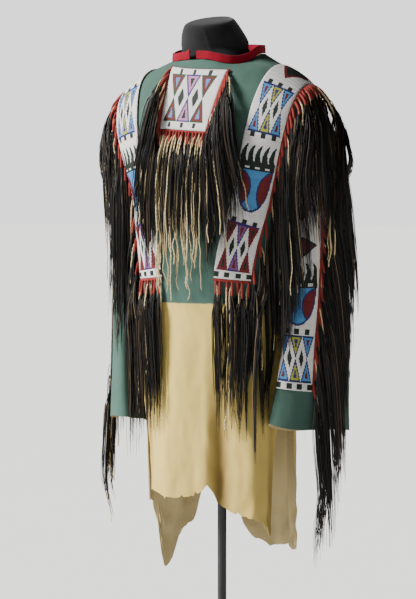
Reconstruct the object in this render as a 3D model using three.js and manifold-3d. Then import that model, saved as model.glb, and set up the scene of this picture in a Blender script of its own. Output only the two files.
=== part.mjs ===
// A plains war shirt of painted hide on a limbless dress form with a pole stand.
// Millimetres, +Z up, +X to the wearer's left, -Y to the wearer's front.
// The origin is the middle of the base plate's underside, under the pole.
import * as THREE from "three";
import { mergeVertices } from "three/addons/utils/BufferGeometryUtils.js";
import Module from "manifold-3d";

const wasm = await Module();
wasm.setup();

const { cos, sin, sqrt, abs, min, max, floor, sign, PI } = Math;
const { degToRad: rad, radToDeg: deg, lerp } = THREE.MathUtils;

// Driving dimensions
const wall = 2; // hide
const seam = 0.4; // between two pieces at a seam
const lift = 1.3; // from a panel to what lies on it
const garmentY = -12; // the form stands this far in front of its pole
const squareness = 0.06; // how far the body's rings bulge at their corners
const beadwork = 3.4; // a beaded strip or flap with its backing
const collarHeight = 17;
const collarWall = 3;
const collarSlit = { from: -13, to: -3 }; // degrees, at the wearer's right of the centre front
const flap = { topZ: 1384, bottomZ: 1259, topHalf: 65, bottomHalf: 54, lift: -0.1 };
const flapHang = { topX: 6, bottomX: -11, tilt: 4 }; // it hangs a little askew
const halvings = 40; // steps that find a place on a surface
const armhole = { top: 5, bottom: 9, reach: 25 }; // first and last ring, and degrees at its widest
const poleRadius = 9.5;
const plate = { radius: 190, thick: 10, bevel: 3 };
const socket = { radius: 24, height: 42, bevel: 3 };
const formPocket = 60; // how far the pole goes up into the form
const edging = { gap: 0.7, width: 4.4 }; // the strip that a fringe's roots are sewn into
const lockSides = 3;
const layerStep = 6; // between locks that hang over each other
const lockWidths = [1.6, 2.5, 2.7, 2.6, 2.1, 1]; // half widths of a lock, from its root down

// The body's rings, from the neck edge down to below the hem: half width and height at the side,
// depth and height at the centre front and at the centre back.
const bodyRings = [
  { side: 95, sideZ: 1418, front: 84, frontZ: 1404, back: 84, backZ: 1427 },
  { side: 122, sideZ: 1403, front: 94, frontZ: 1382, back: 97, backZ: 1403 },
  { side: 148, sideZ: 1390, front: 103, frontZ: 1356, back: 107, backZ: 1378 },
  { side: 174, sideZ: 1377, front: 111, frontZ: 1327, back: 114, backZ: 1348 },
  { side: 200, sideZ: 1359, front: 118, frontZ: 1294, back: 118, backZ: 1313 },
  { side: 223, sideZ: 1333, front: 124, frontZ: 1257, back: 120, backZ: 1276 },
  { side: 229, sideZ: 1297, front: 129, frontZ: 1216, back: 120, backZ: 1235 },
  { side: 218, sideZ: 1249, front: 132, frontZ: 1176, back: 118, backZ: 1190 },
  { side: 198, sideZ: 1194, front: 134, frontZ: 1134, back: 116, backZ: 1142 },
  { side: 180, sideZ: 1135, front: 134, frontZ: 1090, back: 113, backZ: 1095 },
  { side: 174, sideZ: 1065, front: 133, frontZ: 1045, back: 110, backZ: 1048 },
  { side: 171, sideZ: 990, front: 131, frontZ: 990, back: 107, backZ: 990 },
  { side: 170, sideZ: 918, front: 128, frontZ: 918, back: 105, backZ: 918 },
  { side: 168, sideZ: 800, front: 124, frontZ: 800, back: 106, backZ: 800 },
  { side: 167, sideZ: 650, front: 120, frontZ: 650, back: 110, backZ: 650 },
  { side: 167, sideZ: 500, front: 118, frontZ: 500, back: 114, backZ: 500 },
  { side: 168, sideZ: 350, front: 117, frontZ: 350, back: 117, backZ: 350 },
  { side: 169, sideZ: 200, front: 117, frontZ: 200, back: 118, backZ: 200 },
];

// Scoops of the neck edge: degrees from the centre front, width to either side, depth
const neckScoops = [
  { at: -58, width: 56, depth: 10 },
  { at: 52, width: 50, depth: 19 },
];

// The hanging folds of the skirt, in degrees from the centre front towards the wearer's left:
// width to either side, depth outwards at the hem, and the height where the fold dies away.
const folds = [
  { at: -12, width: 17, depth: 11, startZ: 960 },
  { at: 24, width: 13, depth: -19, startZ: 940 },
  { at: 46, width: 11, depth: 12, startZ: 920 },
  { at: 66, width: 9, depth: -12, startZ: 900 },
  { at: 96, width: 12, depth: 9, startZ: 900 },
  { at: 122, width: 13, depth: -15, startZ: 960 },
  { at: 148, width: 14, depth: 12, startZ: 930 },
  { at: 176, width: 14, depth: -14, startZ: 980 },
  { at: 206, width: 15, depth: 13, startZ: 940 },
  { at: 236, width: 12, depth: -13, startZ: 960 },
  { at: 262, width: 14, depth: 10, startZ: 900 },
  { at: 300, width: 28, depth: -18, startZ: 860 },
];

// The side edges of the two hides, in degrees, closed under the arm and parted towards the hem.
const sideEdges = [
  { z: 1140, frontRight: -90, frontLeft: 90, backLeft: 90, backRight: 270 },
  { z: 1000, frontRight: -86, frontLeft: 88, backLeft: 91, backRight: 272.5 },
  { z: 800, frontRight: -62, frontLeft: 78, backLeft: 93, backRight: 296 },
  { z: 600, frontRight: -42, frontLeft: 69, backLeft: 95, backRight: 315 },
  { z: 300, frontRight: -36, frontLeft: 66, backLeft: 97, backRight: 321 },
];

// The uneven hems, with the legs of the hides left hanging.
const frontHem = [
  { at: -90, z: 512 },
  { at: -38, z: 514 },
  { at: -25, z: 508 },
  { at: -12, z: 505 },
  { at: 3, z: 512 },
  { at: 8, z: 520 },
  { at: 13, z: 536 },
  { at: 17, z: 520 },
  { at: 21, z: 496 },
  { at: 31, z: 482 },
  { at: 45, z: 470 },
  { at: 55, z: 462 },
  { at: 61, z: 446 },
  { at: 67, z: 430 },
  { at: 90, z: 430 },
];
const backHem = [
  { at: 90, z: 408 },
  { at: 104, z: 400 },
  { at: 114, z: 386 },
  { at: 122, z: 396 },
  { at: 140, z: 390 },
  { at: 158, z: 378 },
  { at: 170, z: 396 },
  { at: 180, z: 440 },
  { at: 190, z: 492 },
  { at: 205, z: 506 },
  { at: 213, z: 494 },
  { at: 218, z: 424 },
  { at: 228, z: 408 },
  { at: 234, z: 392 },
  { at: 239, z: 338 },
  { at: 244, z: 318 },
  { at: 249, z: 352 },
  { at: 254, z: 430 },
  { at: 260, z: 470 },
  { at: 284, z: 488 },
  { at: 321, z: 490 },
];

// The stations of the wearer's left sleeve: centre, the ring's tilt from level and its twist,
// and half its length across the arm and along the tilt.
const sleeveStations = [
  { x: 201, y: -3, z: 1236, tilt: 78, twist: 90, fore: 56, out: 103 },
  { x: 212, y: 3, z: 1210, tilt: 73, twist: 89, fore: 59, out: 90 },
  { x: 219, y: 10, z: 1172, tilt: 66, twist: 87, fore: 62, out: 74 },
  { x: 224, y: 16, z: 1127, tilt: 57, twist: 84, fore: 65, out: 58 },
  { x: 227, y: 20, z: 1060, tilt: 30, twist: 80, fore: 68, out: 38 },
  { x: 228, y: 22, z: 975, tilt: 8, twist: 75, fore: 72, out: 34 },
  { x: 228, y: 18, z: 886, tilt: 0, twist: 70, fore: 78, out: 35 },
  { x: 223, y: 5, z: 780, tilt: 0, twist: 65, fore: 87, out: 37 },
  { x: 218, y: -9, z: 656, tilt: 0, twist: 61, fore: 96, out: 39 },
  { x: 213, y: -22, z: 530, tilt: 0, twist: 58, fore: 104, out: 41 },
];
const cuffStation = 8; // the last row lies below the cuff
const cuffBelow = 9;
const cuffSlant = { outer: -4, fore: 9, inner: -12, aft: -9 };

// The beaded shoulder strips: how far their middle line lies from the wearer's middle, in even
// steps from the shoulder down to the strip's end.
const shoulderStrip = { half: 38, frontRing: 11.5, backRing: 10.9 };
const shoulderLine = [{ x: 180 }, { x: 179 }, { x: 173 }, { x: 161 }, { x: 138 }, { x: 97 }];

// The beaded sleeve strips: the turn of their middle line round the sleeve, in even steps. The
// left sleeve hangs turned, with its strip to the front.
const sleeveStrip = { from: 0.5, to: 7.4, half: 36, lift: 0.5 };
const sleeveLines = [
  { left: 50, right: 14 },
  { left: 64, right: 10 },
  { left: 76, right: 6 },
  { left: 78, right: 4 },
  { left: 68, right: 2 },
  { left: 47, right: 0 },
];

// The locks of hair and thongs: how many hang from an edge, how far they fall, how far the first
// and the last are carried aside, and how far they hang off the hide.
const flapSideLocks = { count: 7, fall: 330, aside: [50, 6], clear: 19 };
const flapEndLocks = { count: 7, fall: 345, aside: [0, 0], clear: 19 };
const shoulderFrontLocks = { count: 12, fall: 420, aside: [22, 0], clear: 16 };
const shoulderBackLocks = { count: 10, fall: 400, aside: [22, 0], clear: 18, layers: 3 };
const shoulderEndLocks = { count: 5, fall: 330, aside: [0, 0], clear: 11 };
const sleeveLocks = { count: 11, fall: 370, aside: [80, 6], clear: 9 };

// The form's neck block, from its top down: middle, half width, half depth, height and the
// back's rise over the front.
const neckRings = [
  { y: -52, side: 44, deep: 39, z: 1488, rise: 11 },
  { y: -52, side: 53, deep: 48, z: 1483, rise: 13 },
  { y: -44, side: 64, deep: 52, z: 1466, rise: 12 },
  { y: -30, side: 74, deep: 56, z: 1442, rise: 7 },
  { y: -28, side: 75, deep: 55, z: 1426, rise: 3 },
];

// How far the form lies inside the hides' middle surface, ring by ring.
const formRings = [
  { ring: 0, inset: 11 },
  { ring: 0.6, inset: 2.4 },
  { ring: 1.2, inset: 2.1 },
  { ring: 1.9, inset: 2.1 },
  { ring: 2.6, inset: 2.1 },
  { ring: 3.3, inset: 2.1 },
  { ring: 4, inset: 3.4 },
  { ring: 4.6, inset: 8 },
  { ring: 5.3, inset: 16 },
  { ring: 6.2, inset: 22 },
  { ring: 7.4, inset: 24 },
  { ring: 8.6, inset: 25 },
  { ring: 10, inset: 25 },
  { ring: 11.4, inset: 24 },
  { ring: 12.75, inset: 24 },
];

const colour = {
  hide: 0x6b7f5a,
  sleeve: 0x557567,
  bead: 0xe8e6de,
  cloth: 0x8e2a33,
  hair: 0x241f1d,
  form: 0x161617,
  steel: 0x1b1c1e,
};

const finish = (hex, roughness, metalness = 0) =>
  new THREE.MeshStandardMaterial({ color: hex, roughness, metalness });
const materials = {
  hide: finish(colour.hide, 0.9),
  sleeve: finish(colour.sleeve, 0.9),
  bead: finish(colour.bead, 0.35),
  cloth: finish(colour.cloth, 0.95),
  hair: finish(colour.hair, 0.6),
  form: finish(colour.form, 0.95),
  steel: finish(colour.steel, 0.45, 0.8),
};

// A value of a table's column between its rows, straight or rounded.
function between(table, key, at, column) {
  const last = table.length - 1;
  if (at <= table[0][key]) return table[0][column];
  if (at >= table[last][key]) return table[last][column];
  const i = table.findIndex((row) => row[key] > at) - 1;
  const share = (at - table[i][key]) / (table[i + 1][key] - table[i][key]);
  return lerp(table[i][column], table[i + 1][column], share);
}

function rounded(table, at, column) {
  const last = table.length - 1;
  const i = min(max(floor(at), 0), last - 1);
  const u = at - i;
  const value = (k) => table[min(max(k, 0), last)][column];
  const [a, b, c, d] = [value(i - 1), value(i), value(i + 1), value(i + 2)];
  const slopeIn = (c - a) / 2;
  const slopeOut = (d - b) / 2;
  const twist = slopeIn + slopeOut + 2 * (b - c);
  const bend = 3 * (c - b) - 2 * slopeIn - slopeOut;
  return ((twist * u + bend) * u + slopeIn) * u + b;
}

const stepSmooth = (x) => {
  const u = min(max(x, 0), 1);
  return u * u * (3 - 2 * u);
};

// How far a fold pushes the skirt outwards at an angle and height.
// How far the neck edge has slipped down at each side of the slit
function neckScoop(degrees, ring) {
  let total = 0;
  for (const { at, width, depth } of neckScoops) {
    const apart = min(abs(((degrees - at + 540) % 360) - 180), width);
    total += (depth * (1 + cos((PI * apart) / width))) / 2;
  }
  return total * max(0, 1 - ring / 2) ** 1.5;
}

function foldDepth(degrees, z) {
  return folds.reduce((sum, fold) => {
    const apart = abs(((degrees - fold.at + 540) % 360) - 180);
    if (apart >= fold.width) return sum;
    const across = (1 + cos((PI * apart) / fold.width)) / 2;
    return sum + fold.depth * across * stepSmooth((fold.startZ - z) / 430);
  }, 0);
}

// A point of the hides' middle surface: degrees from the centre front, and the ring.
function bodyPoint(degrees, ring, folded = true) {
  const angle = rad(degrees);
  const across = sin(angle);
  const along = cos(angle);
  const facing = along > 0 ? "front" : "back";
  const bulge = 1 + squareness * sin(2 * angle) ** 2;
  const z =
    rounded(bodyRings, ring, "sideZ") * across ** 2 +
    rounded(bodyRings, ring, facing + "Z") * along ** 2 -
    neckScoop(degrees, ring);
  const width = rounded(bodyRings, ring, "side");
  const depth = rounded(bodyRings, ring, facing);
  const out = folded ? foldDepth(degrees, z) : 0;
  const plan = new THREE.Vector2(width * across, -depth * along);
  plan.multiplyScalar(bulge);
  plan.multiplyScalar(1 + out / plan.length());
  return new THREE.Vector3(plan.x, plan.y + garmentY, z);
}

// The point moved outwards along the surface's normal.
function moved(surface, u, v, stepU, stepV, distance) {
  const alongU = surface(u + stepU, v).sub(surface(u - stepU, v));
  const alongV = surface(u, v + stepV).sub(surface(u, v - stepV));
  const normal = alongV.cross(alongU).normalize();
  return surface(u, v).addScaledVector(normal, distance);
}
const onBody = (degrees, ring, distance, folded = true) =>
  moved((u, v) => bodyPoint(u, v, folded), degrees, ring, 0.5, 0.02, distance);

// The ring that has a height at an angle, and the place of a side-to-side distance at a height.
function ringAtHeight(degrees, z) {
  let [high, low] = [0, bodyRings.length - 1];
  for (let i = 0; i < halvings; i++) {
    const middle = (high + low) / 2;
    if (bodyPoint(degrees, middle, false).z > z) high = middle;
    else low = middle;
  }
  return (high + low) / 2;
}

function angleAtX(x, ring) {
  let [near, far] = [0, 90];
  for (let i = 0; i < halvings; i++) {
    const middle = (near + far) / 2;
    if (bodyPoint(middle, ring, false).x < x) near = middle;
    else far = middle;
  }
  return (near + far) / 2;
}

function placeOnFront(x, z) {
  let degrees = 0;
  let ring = 0;
  for (let i = 0; i < 12; i++) {
    ring = ringAtHeight(degrees, z);
    degrees = angleAtX(abs(x), ring);
  }
  return { degrees: sign(x) * degrees, ring };
}

// One closed wall from a grid of points: the outer side, the inner side and the edges between.
function wallGeometry(outer, inner, closedAcross = false) {
  const rows = outer.length;
  const columns = outer[0].length;
  const points = [...outer.flat(), ...inner.flat()];
  const offset = rows * columns;
  const faces = [];
  const quad = (a, b, c, d) => faces.push(a, b, c, a, c, d);
  const spans = closedAcross ? columns : columns - 1;
  for (let r = 0; r < rows - 1; r++)
    for (let c = 0; c < spans; c++) {
      const next = (c + 1) % columns;
      const [a, b] = [r * columns + c, r * columns + next];
      const [d, e] = [a + columns, b + columns];
      quad(a, d, e, b);
      quad(a + offset, b + offset, e + offset, d + offset);
    }
  for (let c = 0; c < spans; c++) {
    const next = (c + 1) % columns;
    const low = (rows - 1) * columns;
    quad(c, next, next + offset, c + offset);
    quad(low + c, low + c + offset, low + next + offset, low + next);
  }
  if (!closedAcross)
    for (let r = 0; r < rows - 1; r++) {
      const [a, b] = [r * columns, (r + 1) * columns];
      const [c, d] = [a + columns - 1, b + columns - 1];
      quad(a, a + offset, b + offset, b);
      quad(c, d, d + offset, c + offset);
    }
  return facingOut(points, faces);
}

// A closed body through rings, its ends shut by fans.
function loftGeometry(rings) {
  const columns = rings[0].length;
  const points = rings.flat();
  const faces = [];
  for (let r = 0; r < rings.length - 1; r++)
    for (let c = 0; c < columns; c++) {
      const next = (c + 1) % columns;
      const [a, b] = [r * columns + c, r * columns + next];
      faces.push(a, b, b + columns, a, b + columns, a + columns);
    }
  const middle = (ring) =>
    ring
      .reduce((sum, p) => sum.add(p), new THREE.Vector3())
      .divideScalar(columns);
  const first = points.push(middle(rings[0])) - 1;
  const last = points.push(middle(rings.at(-1))) - 1;
  const low = (rings.length - 1) * columns;
  for (let c = 0; c < columns; c++) {
    const next = (c + 1) % columns;
    faces.push(first, next, c, last, low + c, low + next);
  }
  return facingOut(points, faces);
}

function facingOut(points, faces) {
  let volume = 0;
  for (let i = 0; i < faces.length; i += 3) {
    const [a, b, c] = faces.slice(i, i + 3).map((k) => points[k]);
    volume += a.dot(b.clone().cross(c));
  }
  const index = volume < 0 ? faces.slice().reverse() : faces;
  return new THREE.BufferGeometry()
    .setFromPoints(points)
    .setIndex(Array.from(index));
}

function toSolid(geometry) {
  const bare = geometry.index ? geometry.toNonIndexed() : geometry.clone();
  bare.deleteAttribute("normal");
  bare.deleteAttribute("uv");
  const merged = mergeVertices(bare, 1e-3);
  return new wasm.Manifold(
    new wasm.Mesh({
      numProp: 3,
      vertProperties: merged.attributes.position.array,
      triVerts: new Uint32Array(merged.index.array),
    }),
  );
}

function fromSolid(solid) {
  const mesh = solid.getMesh();
  return new THREE.BufferGeometry()
    .setAttribute("position", new THREE.BufferAttribute(mesh.vertProperties, 3))
    .setIndex(new THREE.BufferAttribute(mesh.triVerts, 1));
}

const part = new THREE.Group();
function addNode(name, geometry, material) {
  const mesh = new THREE.Mesh(geometry, materials[material]);
  mesh.name = name;
  part.add(mesh);
}

const range = (count, each) => Array.from({ length: count }, (_, i) => each(i));
const mirrored = (point) => new THREE.Vector3(-point.x, point.y, point.z);

// The armhole's edge, turning from the shoulder's tip by way of the front (or the back) to the pit.
const sleeveSides = 16;
const armholeRing = (turn) => {
  const middle = (armhole.top + armhole.bottom) / 2;
  return middle - ((armhole.bottom - armhole.top) / 2) * cos(turn);
};
const armholeCut = (ring) => {
  const half = (armhole.bottom - armhole.top) / 2;
  const off = (ring - (armhole.top + armhole.bottom) / 2) / half;
  return armhole.reach * sqrt(max(0, 1 - off * off));
};
const armholeRings = range(sleeveSides / 2 + 1, (i) =>
  armholeRing((2 * PI * i) / sleeveSides),
);

// The two hides
const upperRings = [0, 1, 2, 3, 3.8, 4.5, ...armholeRings, 10, 11, 12];
const skirtFrom = 12;
const skirtRows = 7;

function edgeAngles(ring, degrees, edge) {
  const z = bodyPoint(degrees, ring, false).z;
  return between([...sideEdges].reverse(), "z", z, edge);
}

function hideGrid(panel, columns, hem, distance) {
  const sides = panel === "front" ? ["frontRight", "frontLeft"] : ["backLeft", "backRight"];
  const square = panel === "front" ? [-90, 90] : [90, 270];
  const span = (ring) => {
    const gap = deg(seam / 2 / rounded(bodyRings, ring, "front"));
    const cut = armholeCut(ring) + gap;
    const inside = ring < armhole.bottom;
    const start = inside ? square[0] : edgeAngles(ring, square[0], sides[0]);
    const end = inside ? square[1] : edgeAngles(ring, square[1], sides[1]);
    return [start + cut, end - cut];
  };
  const angleAt = (ring, share) => {
    const [start, end] = span(ring);
    return lerp(start, end, share);
  };
  const upper = upperRings.map((ring) =>
    range(columns, (c) => {
      const share = c / (columns - 1);
      return onBody(angleAt(ring, share), ring, distance);
    }),
  );
  const skirt = range(skirtRows, (r) =>
    range(columns, (c) => {
      const share = c / (columns - 1);
      const down = (r + 1) / skirtRows;
      const hemAngle = angleAt(14.5, share);
      const hemRing = ringAtHeight(hemAngle, between(hem, "at", hemAngle, "z"));
      const ring = skirtFrom + (hemRing - skirtFrom) * down;
      return onBody(angleAt(ring, share), ring, distance);
    }),
  );
  return [...upper, ...skirt];
}

function addHide(name, panel, columns, hem) {
  const outer = hideGrid(panel, columns, hem, wall / 2);
  const inner = hideGrid(panel, columns, hem, -wall / 2);
  addNode(name, wallGeometry(outer, inner), "hide");
}
addHide("front_hide", "front", 28, frontHem);
addHide("back_hide", "back", 28, backHem);

// A sleeve's middle surface: the turn from the outside by way of the front, and the station.
function stationPoint(turn, station) {
  const value = (column) => rounded(sleeveStations, station, column);
  const twist = rad(value("twist"));
  const tilt = rad(value("tilt"));
  const fore = new THREE.Vector3(-cos(twist), -sin(twist), 0);
  const level = new THREE.Vector3(sin(twist), -cos(twist), 0);
  const out = level
    .multiplyScalar(cos(tilt))
    .add(new THREE.Vector3(0, 0, sin(tilt)));
  const slantShare = max(0, station - 5) / 3;
  const slant =
    cos(turn) > 0 ? cuffSlant.outer * cos(turn) : -cuffSlant.inner * cos(turn);
  const lean =
    sin(turn) > 0 ? cuffSlant.fore * sin(turn) : -cuffSlant.aft * sin(turn);
  return new THREE.Vector3(value("x"), value("y") + garmentY, value("z"))
    .addScaledVector(out, value("out") * cos(turn))
    .addScaledVector(fore, value("fore") * sin(turn))
    .add(new THREE.Vector3(0, 0, (slant + lean) * slantShare));
}

const armholeGap = (turn) => 0.8 + 1.3 * (1 - cos(turn));
function sleevePoint(turn, station) {
  const point = stationPoint(turn, station);
  const settle = max(0, 1 - station / 2.2) ** 2;
  if (settle === 0) return point;
  const ring = armholeRing(turn);
  const edge = bodyPoint(90 - sign(sin(turn)) * armholeCut(ring), ring);
  edge.x += armholeGap(turn);
  return point.addScaledVector(edge.sub(stationPoint(turn, 0)), settle);
}
const sleeveCreases = [
  { station: 2.6, turn: 200, depth: -5, long: 0.7, wide: 60 },
  { station: 4.3, turn: 170, depth: -5, long: 0.9, wide: 50 },
  { station: 5.2, turn: 250, depth: -4, long: 1.1, wide: 40 },
  { station: 6.9, turn: 100, depth: -5, long: 1.4, wide: 32 },
  { station: 7.1, turn: 275, depth: -6, long: 1.6, wide: 36 },
];
function sleeveCrease(turn, station) {
  return sleeveCreases.reduce((sum, crease) => {
    const degrees = deg(turn);
    const apart = abs(((degrees - crease.turn + 540) % 360) - 180) / crease.wide;
    const along = abs(station - crease.station) / crease.long;
    const reach = sqrt(apart * apart + along * along);
    return reach >= 1 ? sum : sum + crease.depth * ((1 + cos(PI * reach)) / 2);
  }, 0);
}
function onSleeve(turn, station, distance) {
  const off = distance + sleeveCrease(turn, station);
  return moved(sleevePoint, turn, station, 0.02, 0.02, -off);
}

const sleeveSteps = [0, 0.4, 0.8, 1.3, 1.8, 2.4, 3, 3.6, 4.3, 5, 5.7, 6.4, 7.2, cuffStation];
function addSleeve(name, mirror) {
  const grid = (distance) =>
    sleeveSteps.map((station) =>
      range(sleeveSides, (c) => {
        const point = onSleeve((2 * PI * c) / sleeveSides, station, distance);
        return mirror ? mirrored(point) : point;
      }),
    );
  const geometry = wallGeometry(grid(wall / 2), grid(-wall / 2), true);
  addNode(name, geometry, "sleeve");
}
addSleeve("left_sleeve", false);
addSleeve("right_sleeve", true);

// The red wool collar, a folded band that stands on the neck edge and parts at the slit.
function addCollar() {
  const columns = 25;
  const turnAt = (c) =>
    lerp(collarSlit.to, collarSlit.from + 360, c / (columns - 1));
  const side = (distance) =>
    range(3, (r) =>
      range(columns, (c) => {
        const up = wall / 2 + 2 * seam + (collarHeight * (2 - r)) / 2;
        const edge = onBody(turnAt(c), 0, 0);
        const outwards = edge.clone().setZ(0).setY(edge.y - garmentY).normalize();
        const spread = distance - 0.08 * up;
        return edge.addScaledVector(outwards, spread).add(new THREE.Vector3(0, 0, up));
      }),
    );
  const geometry = wallGeometry(side(collarWall / 2), side(-collarWall / 2));
  addNode("collar", geometry, "cloth");
}
addCollar();

// The beaded neck flap on the chest
function flapPoint(across, down, distance) {
  const z = lerp(flap.topZ, flap.bottomZ, down);
  const half = lerp(flap.topHalf, flap.bottomHalf, down);
  const x = across * half + lerp(flapHang.topX, flapHang.bottomX, down);
  const place = placeOnFront(x, z - flapHang.tilt * across);
  return onBody(place.degrees, place.ring, distance + flap.lift + 3 * down * down, false);
}

// A shoulder strip, from its front end (along 1) over the shoulder (0) to its back end (-1).
function shoulderRing(x) {
  let [near, far] = [0, armhole.top];
  for (let i = 0; i < halvings; i++) {
    const middle = (near + far) / 2;
    if (bodyPoint(90, middle, false).x < x) near = middle;
    else far = middle;
  }
  return (near + far) / 2;
}
const shoulderTop = shoulderRing(shoulderLine[0].x);
function shoulderMiddle(along) {
  const x = rounded(shoulderLine, abs(along) * (shoulderLine.length - 1), "x");
  const end = along > 0 ? shoulderStrip.frontRing : shoulderStrip.backRing;
  const ring = shoulderTop + (end - shoulderTop) * along * along;
  const degrees = along === 0 ? 90 : angleAtX(x, ring);
  return { degrees: along < 0 ? 180 - degrees : degrees, ring };
}

// Steps over the surface from a place, in a direction in space.
function walked(place, direction, distance) {
  const steps = 6;
  let { degrees, ring } = place;
  for (let i = 0; i < steps; i++) {
    const across = bodyPoint(degrees + 0.5, ring, false).sub(bodyPoint(degrees - 0.5, ring, false));
    const down = bodyPoint(degrees, ring + 0.02, false).sub(bodyPoint(degrees, ring - 0.02, false));
    down.multiplyScalar(25);
    const [a, b, c] = [across.dot(across), across.dot(down), down.dot(down)];
    const [p, q] = [across.dot(direction), down.dot(direction)];
    const scale = distance / steps / (a * c - b * b);
    degrees += (c * p - b * q) * scale;
    ring += (a * q - b * p) * scale;
  }
  return { degrees, ring };
}
const placed = (place, distance) => onBody(place.degrees, place.ring, distance, false);
function shoulderPoint(offset, along, distance) {
  const middle = shoulderMiddle(along);
  const tangent = placed(shoulderMiddle(along + 0.01), 0).sub(placed(shoulderMiddle(along - 0.01), 0));
  const normal = placed(middle, 1).sub(placed(middle, 0));
  const sideways = tangent.cross(normal).normalize();
  if (sideways.x < 0) sideways.negate();
  return placed(walked(middle, sideways, offset), distance);
}
const stripClear = wall / 2 + lift;
const flipped = (points, mirror) => points.map((row) => (mirror ? row.map(mirrored) : row));

// A thin panel of beadwork through a grid of places, given as a point function.
function beadPanel(columns, rows, pointAt, mirror = false) {
  const side = (distance) =>
    range(rows, (r) =>
      range(columns, (c) => pointAt(c / (columns - 1), r / (rows - 1), distance)),
    );
  return wallGeometry(
    flipped(side(stripClear + beadwork), mirror),
    flipped(side(stripClear), mirror),
  );
}
const acrossStrip = (share, half) => (2 * share - 1) * half;
function addShoulderStrip(name, mirror) {
  const point = (across, down, distance) =>
    shoulderPoint(acrossStrip(across, shoulderStrip.half), 1 - 2 * down, distance);
  addNode(name, beadPanel(6, 25, point, mirror), "bead");
}
addShoulderStrip("left_shoulder_strip", false);
addShoulderStrip("right_shoulder_strip", true);

// A sleeve strip, down the outside of the arm.
function sleeveStripPoint(side, offset, down, distance) {
  const station = lerp(sleeveStrip.from, sleeveStrip.to, down);
  let turn = rad(rounded(sleeveLines, down * (sleeveLines.length - 1), side));
  const steps = 6;
  for (let i = 0; i < steps; i++) {
    const ahead = sleevePoint(turn + 0.01, station).distanceTo(sleevePoint(turn - 0.01, station));
    turn += ((offset / steps) * 0.02) / ahead;
  }
  return onSleeve(turn, station, distance + sleeveStrip.lift);
}
function addSleeveStrip(side) {
  const point = (across, down, distance) =>
    sleeveStripPoint(side, acrossStrip(across, sleeveStrip.half), down, distance);
  addNode(`${side}_sleeve_strip`, beadPanel(7, 14, point, side === "right"), "bead");
}
addSleeveStrip("left");
addSleeveStrip("right");

const flapPanel = beadPanel(8, 8, (across, down, distance) =>
  flapPoint(2 * across - 1, down, distance),
);
addNode("neck_flap", flapPanel, "bead");

// Samples of the hides and sleeves that a hanging lock keeps clear of.
const skinReach = 60; // a surface farther off than this is left out of account
const sampled = (columns, rows, place) =>
  range(rows, (r) => range(columns, (c) => place(c / columns, r / (rows - 1)))).flat();
function facing(surface) {
  const at = surface(0);
  return { at, out: surface(1).sub(at) };
}
const lastRing = bodyRings.length - 2;
const bodySkin = sampled(90, 90, (u, v) => ({ degrees: u * 360, ring: v * lastRing }))
  .filter(({ degrees, ring }) => abs(abs(degrees - 180) - 90) >= armholeCut(ring))
  .map(({ degrees, ring }) => facing((distance) => onBody(degrees, ring, distance)));
const sleeveSkin = sampled(48, 60, (u, v) => ({ turn: u * 2 * PI, station: v * cuffBelow }))
  .map(({ turn, station }) => facing((distance) => onSleeve(turn, station, distance)));

function clearOfSkin(point, clear) {
  const free = point.clone();
  for (let pass = 0; pass < 8; pass++)
    for (const skin of [bodySkin, sleeveSkin]) {
      let [nearest, best] = [null, skinReach ** 2];
      for (const one of skin) {
        const apart = one.at.distanceToSquared(free);
        if (apart < best) [best, nearest] = [apart, one];
      }
      if (nearest === null) continue;
      const height = free.clone().sub(nearest.at).dot(nearest.out);
      if (height < clear) free.addScaledVector(nearest.out, clear - height);
    }
  return free;
}

// A lock's route, from its root in the edging down to its tip.
const lockDrops = [0, 0.06, 0.2, 0.45, 0.72, 1];
function lockRoute(root, aside, reach, fall, clear) {
  return lockDrops.map((drop, i) => {
    if (i === 0) return root;
    const carried = reach * (1 - (1 - drop) ** 3);
    const free = root.clone().addScaledVector(aside, carried);
    free.z = root.z - fall * drop;
    return clearOfSkin(free, i === 1 ? clear * 0.8 : clear);
  });
}

function lockGeometry(route) {
  const rings = route.map((point, i) => {
    const from = route[max(i - 1, 0)];
    const to = route[min(i + 1, route.length - 1)];
    const ahead = to.clone().sub(from).normalize();
    const aside = new THREE.Vector3(0, 1, 0).cross(ahead).normalize();
    const up = ahead.clone().cross(aside);
    return range(lockSides, (k) => {
      const turn = (2 * PI * k) / lockSides;
      return point
        .clone()
        .addScaledVector(aside, lockWidths[i] * cos(turn))
        .addScaledVector(up, lockWidths[i] * sin(turn));
    });
  });
  return loftGeometry(rings);
}

// One edging with its locks. The edge function gives a point from the share along the edge, how
// far out from the panel's edge and how far off the hide.
function addFringe(name, edge, locks, steps, mirror = false) {
  const side = (off) =>
    range(steps, (r) =>
      range(2, (c) => edge(r / (steps - 1), edging.gap + c * edging.width, off)),
    );
  const backing = wallGeometry(side(stripClear + beadwork), side(stripClear));
  const solid = range(locks.count, (i) => {
    const share = (i + 0.5) / locks.count;
    const off = stripClear + beadwork / 2;
    const root = edge(share, edging.gap + edging.width / 2, off);
    const aside = edge(share, 2 * edging.width, off).sub(root).setZ(0).normalize();
    const reach = lerp(...locks.aside, share);
    const uneven = 1 - 0.12 * abs(sin(2.4 * i + 1));
    const clear = locks.clear + layerStep * (i % (locks.layers ?? 1));
    return toSolid(lockGeometry(lockRoute(root, aside, reach, locks.fall * uneven, clear)));
  }).reduce((sum, one) => sum.add(one), toSolid(backing));
  const geometry = fromSolid(solid);
  if (mirror) {
    geometry.scale(-1, 1, 1);
    geometry.setIndex(Array.from(geometry.index.array).reverse());
  }
  addNode(name, geometry, "hair");
}

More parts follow.
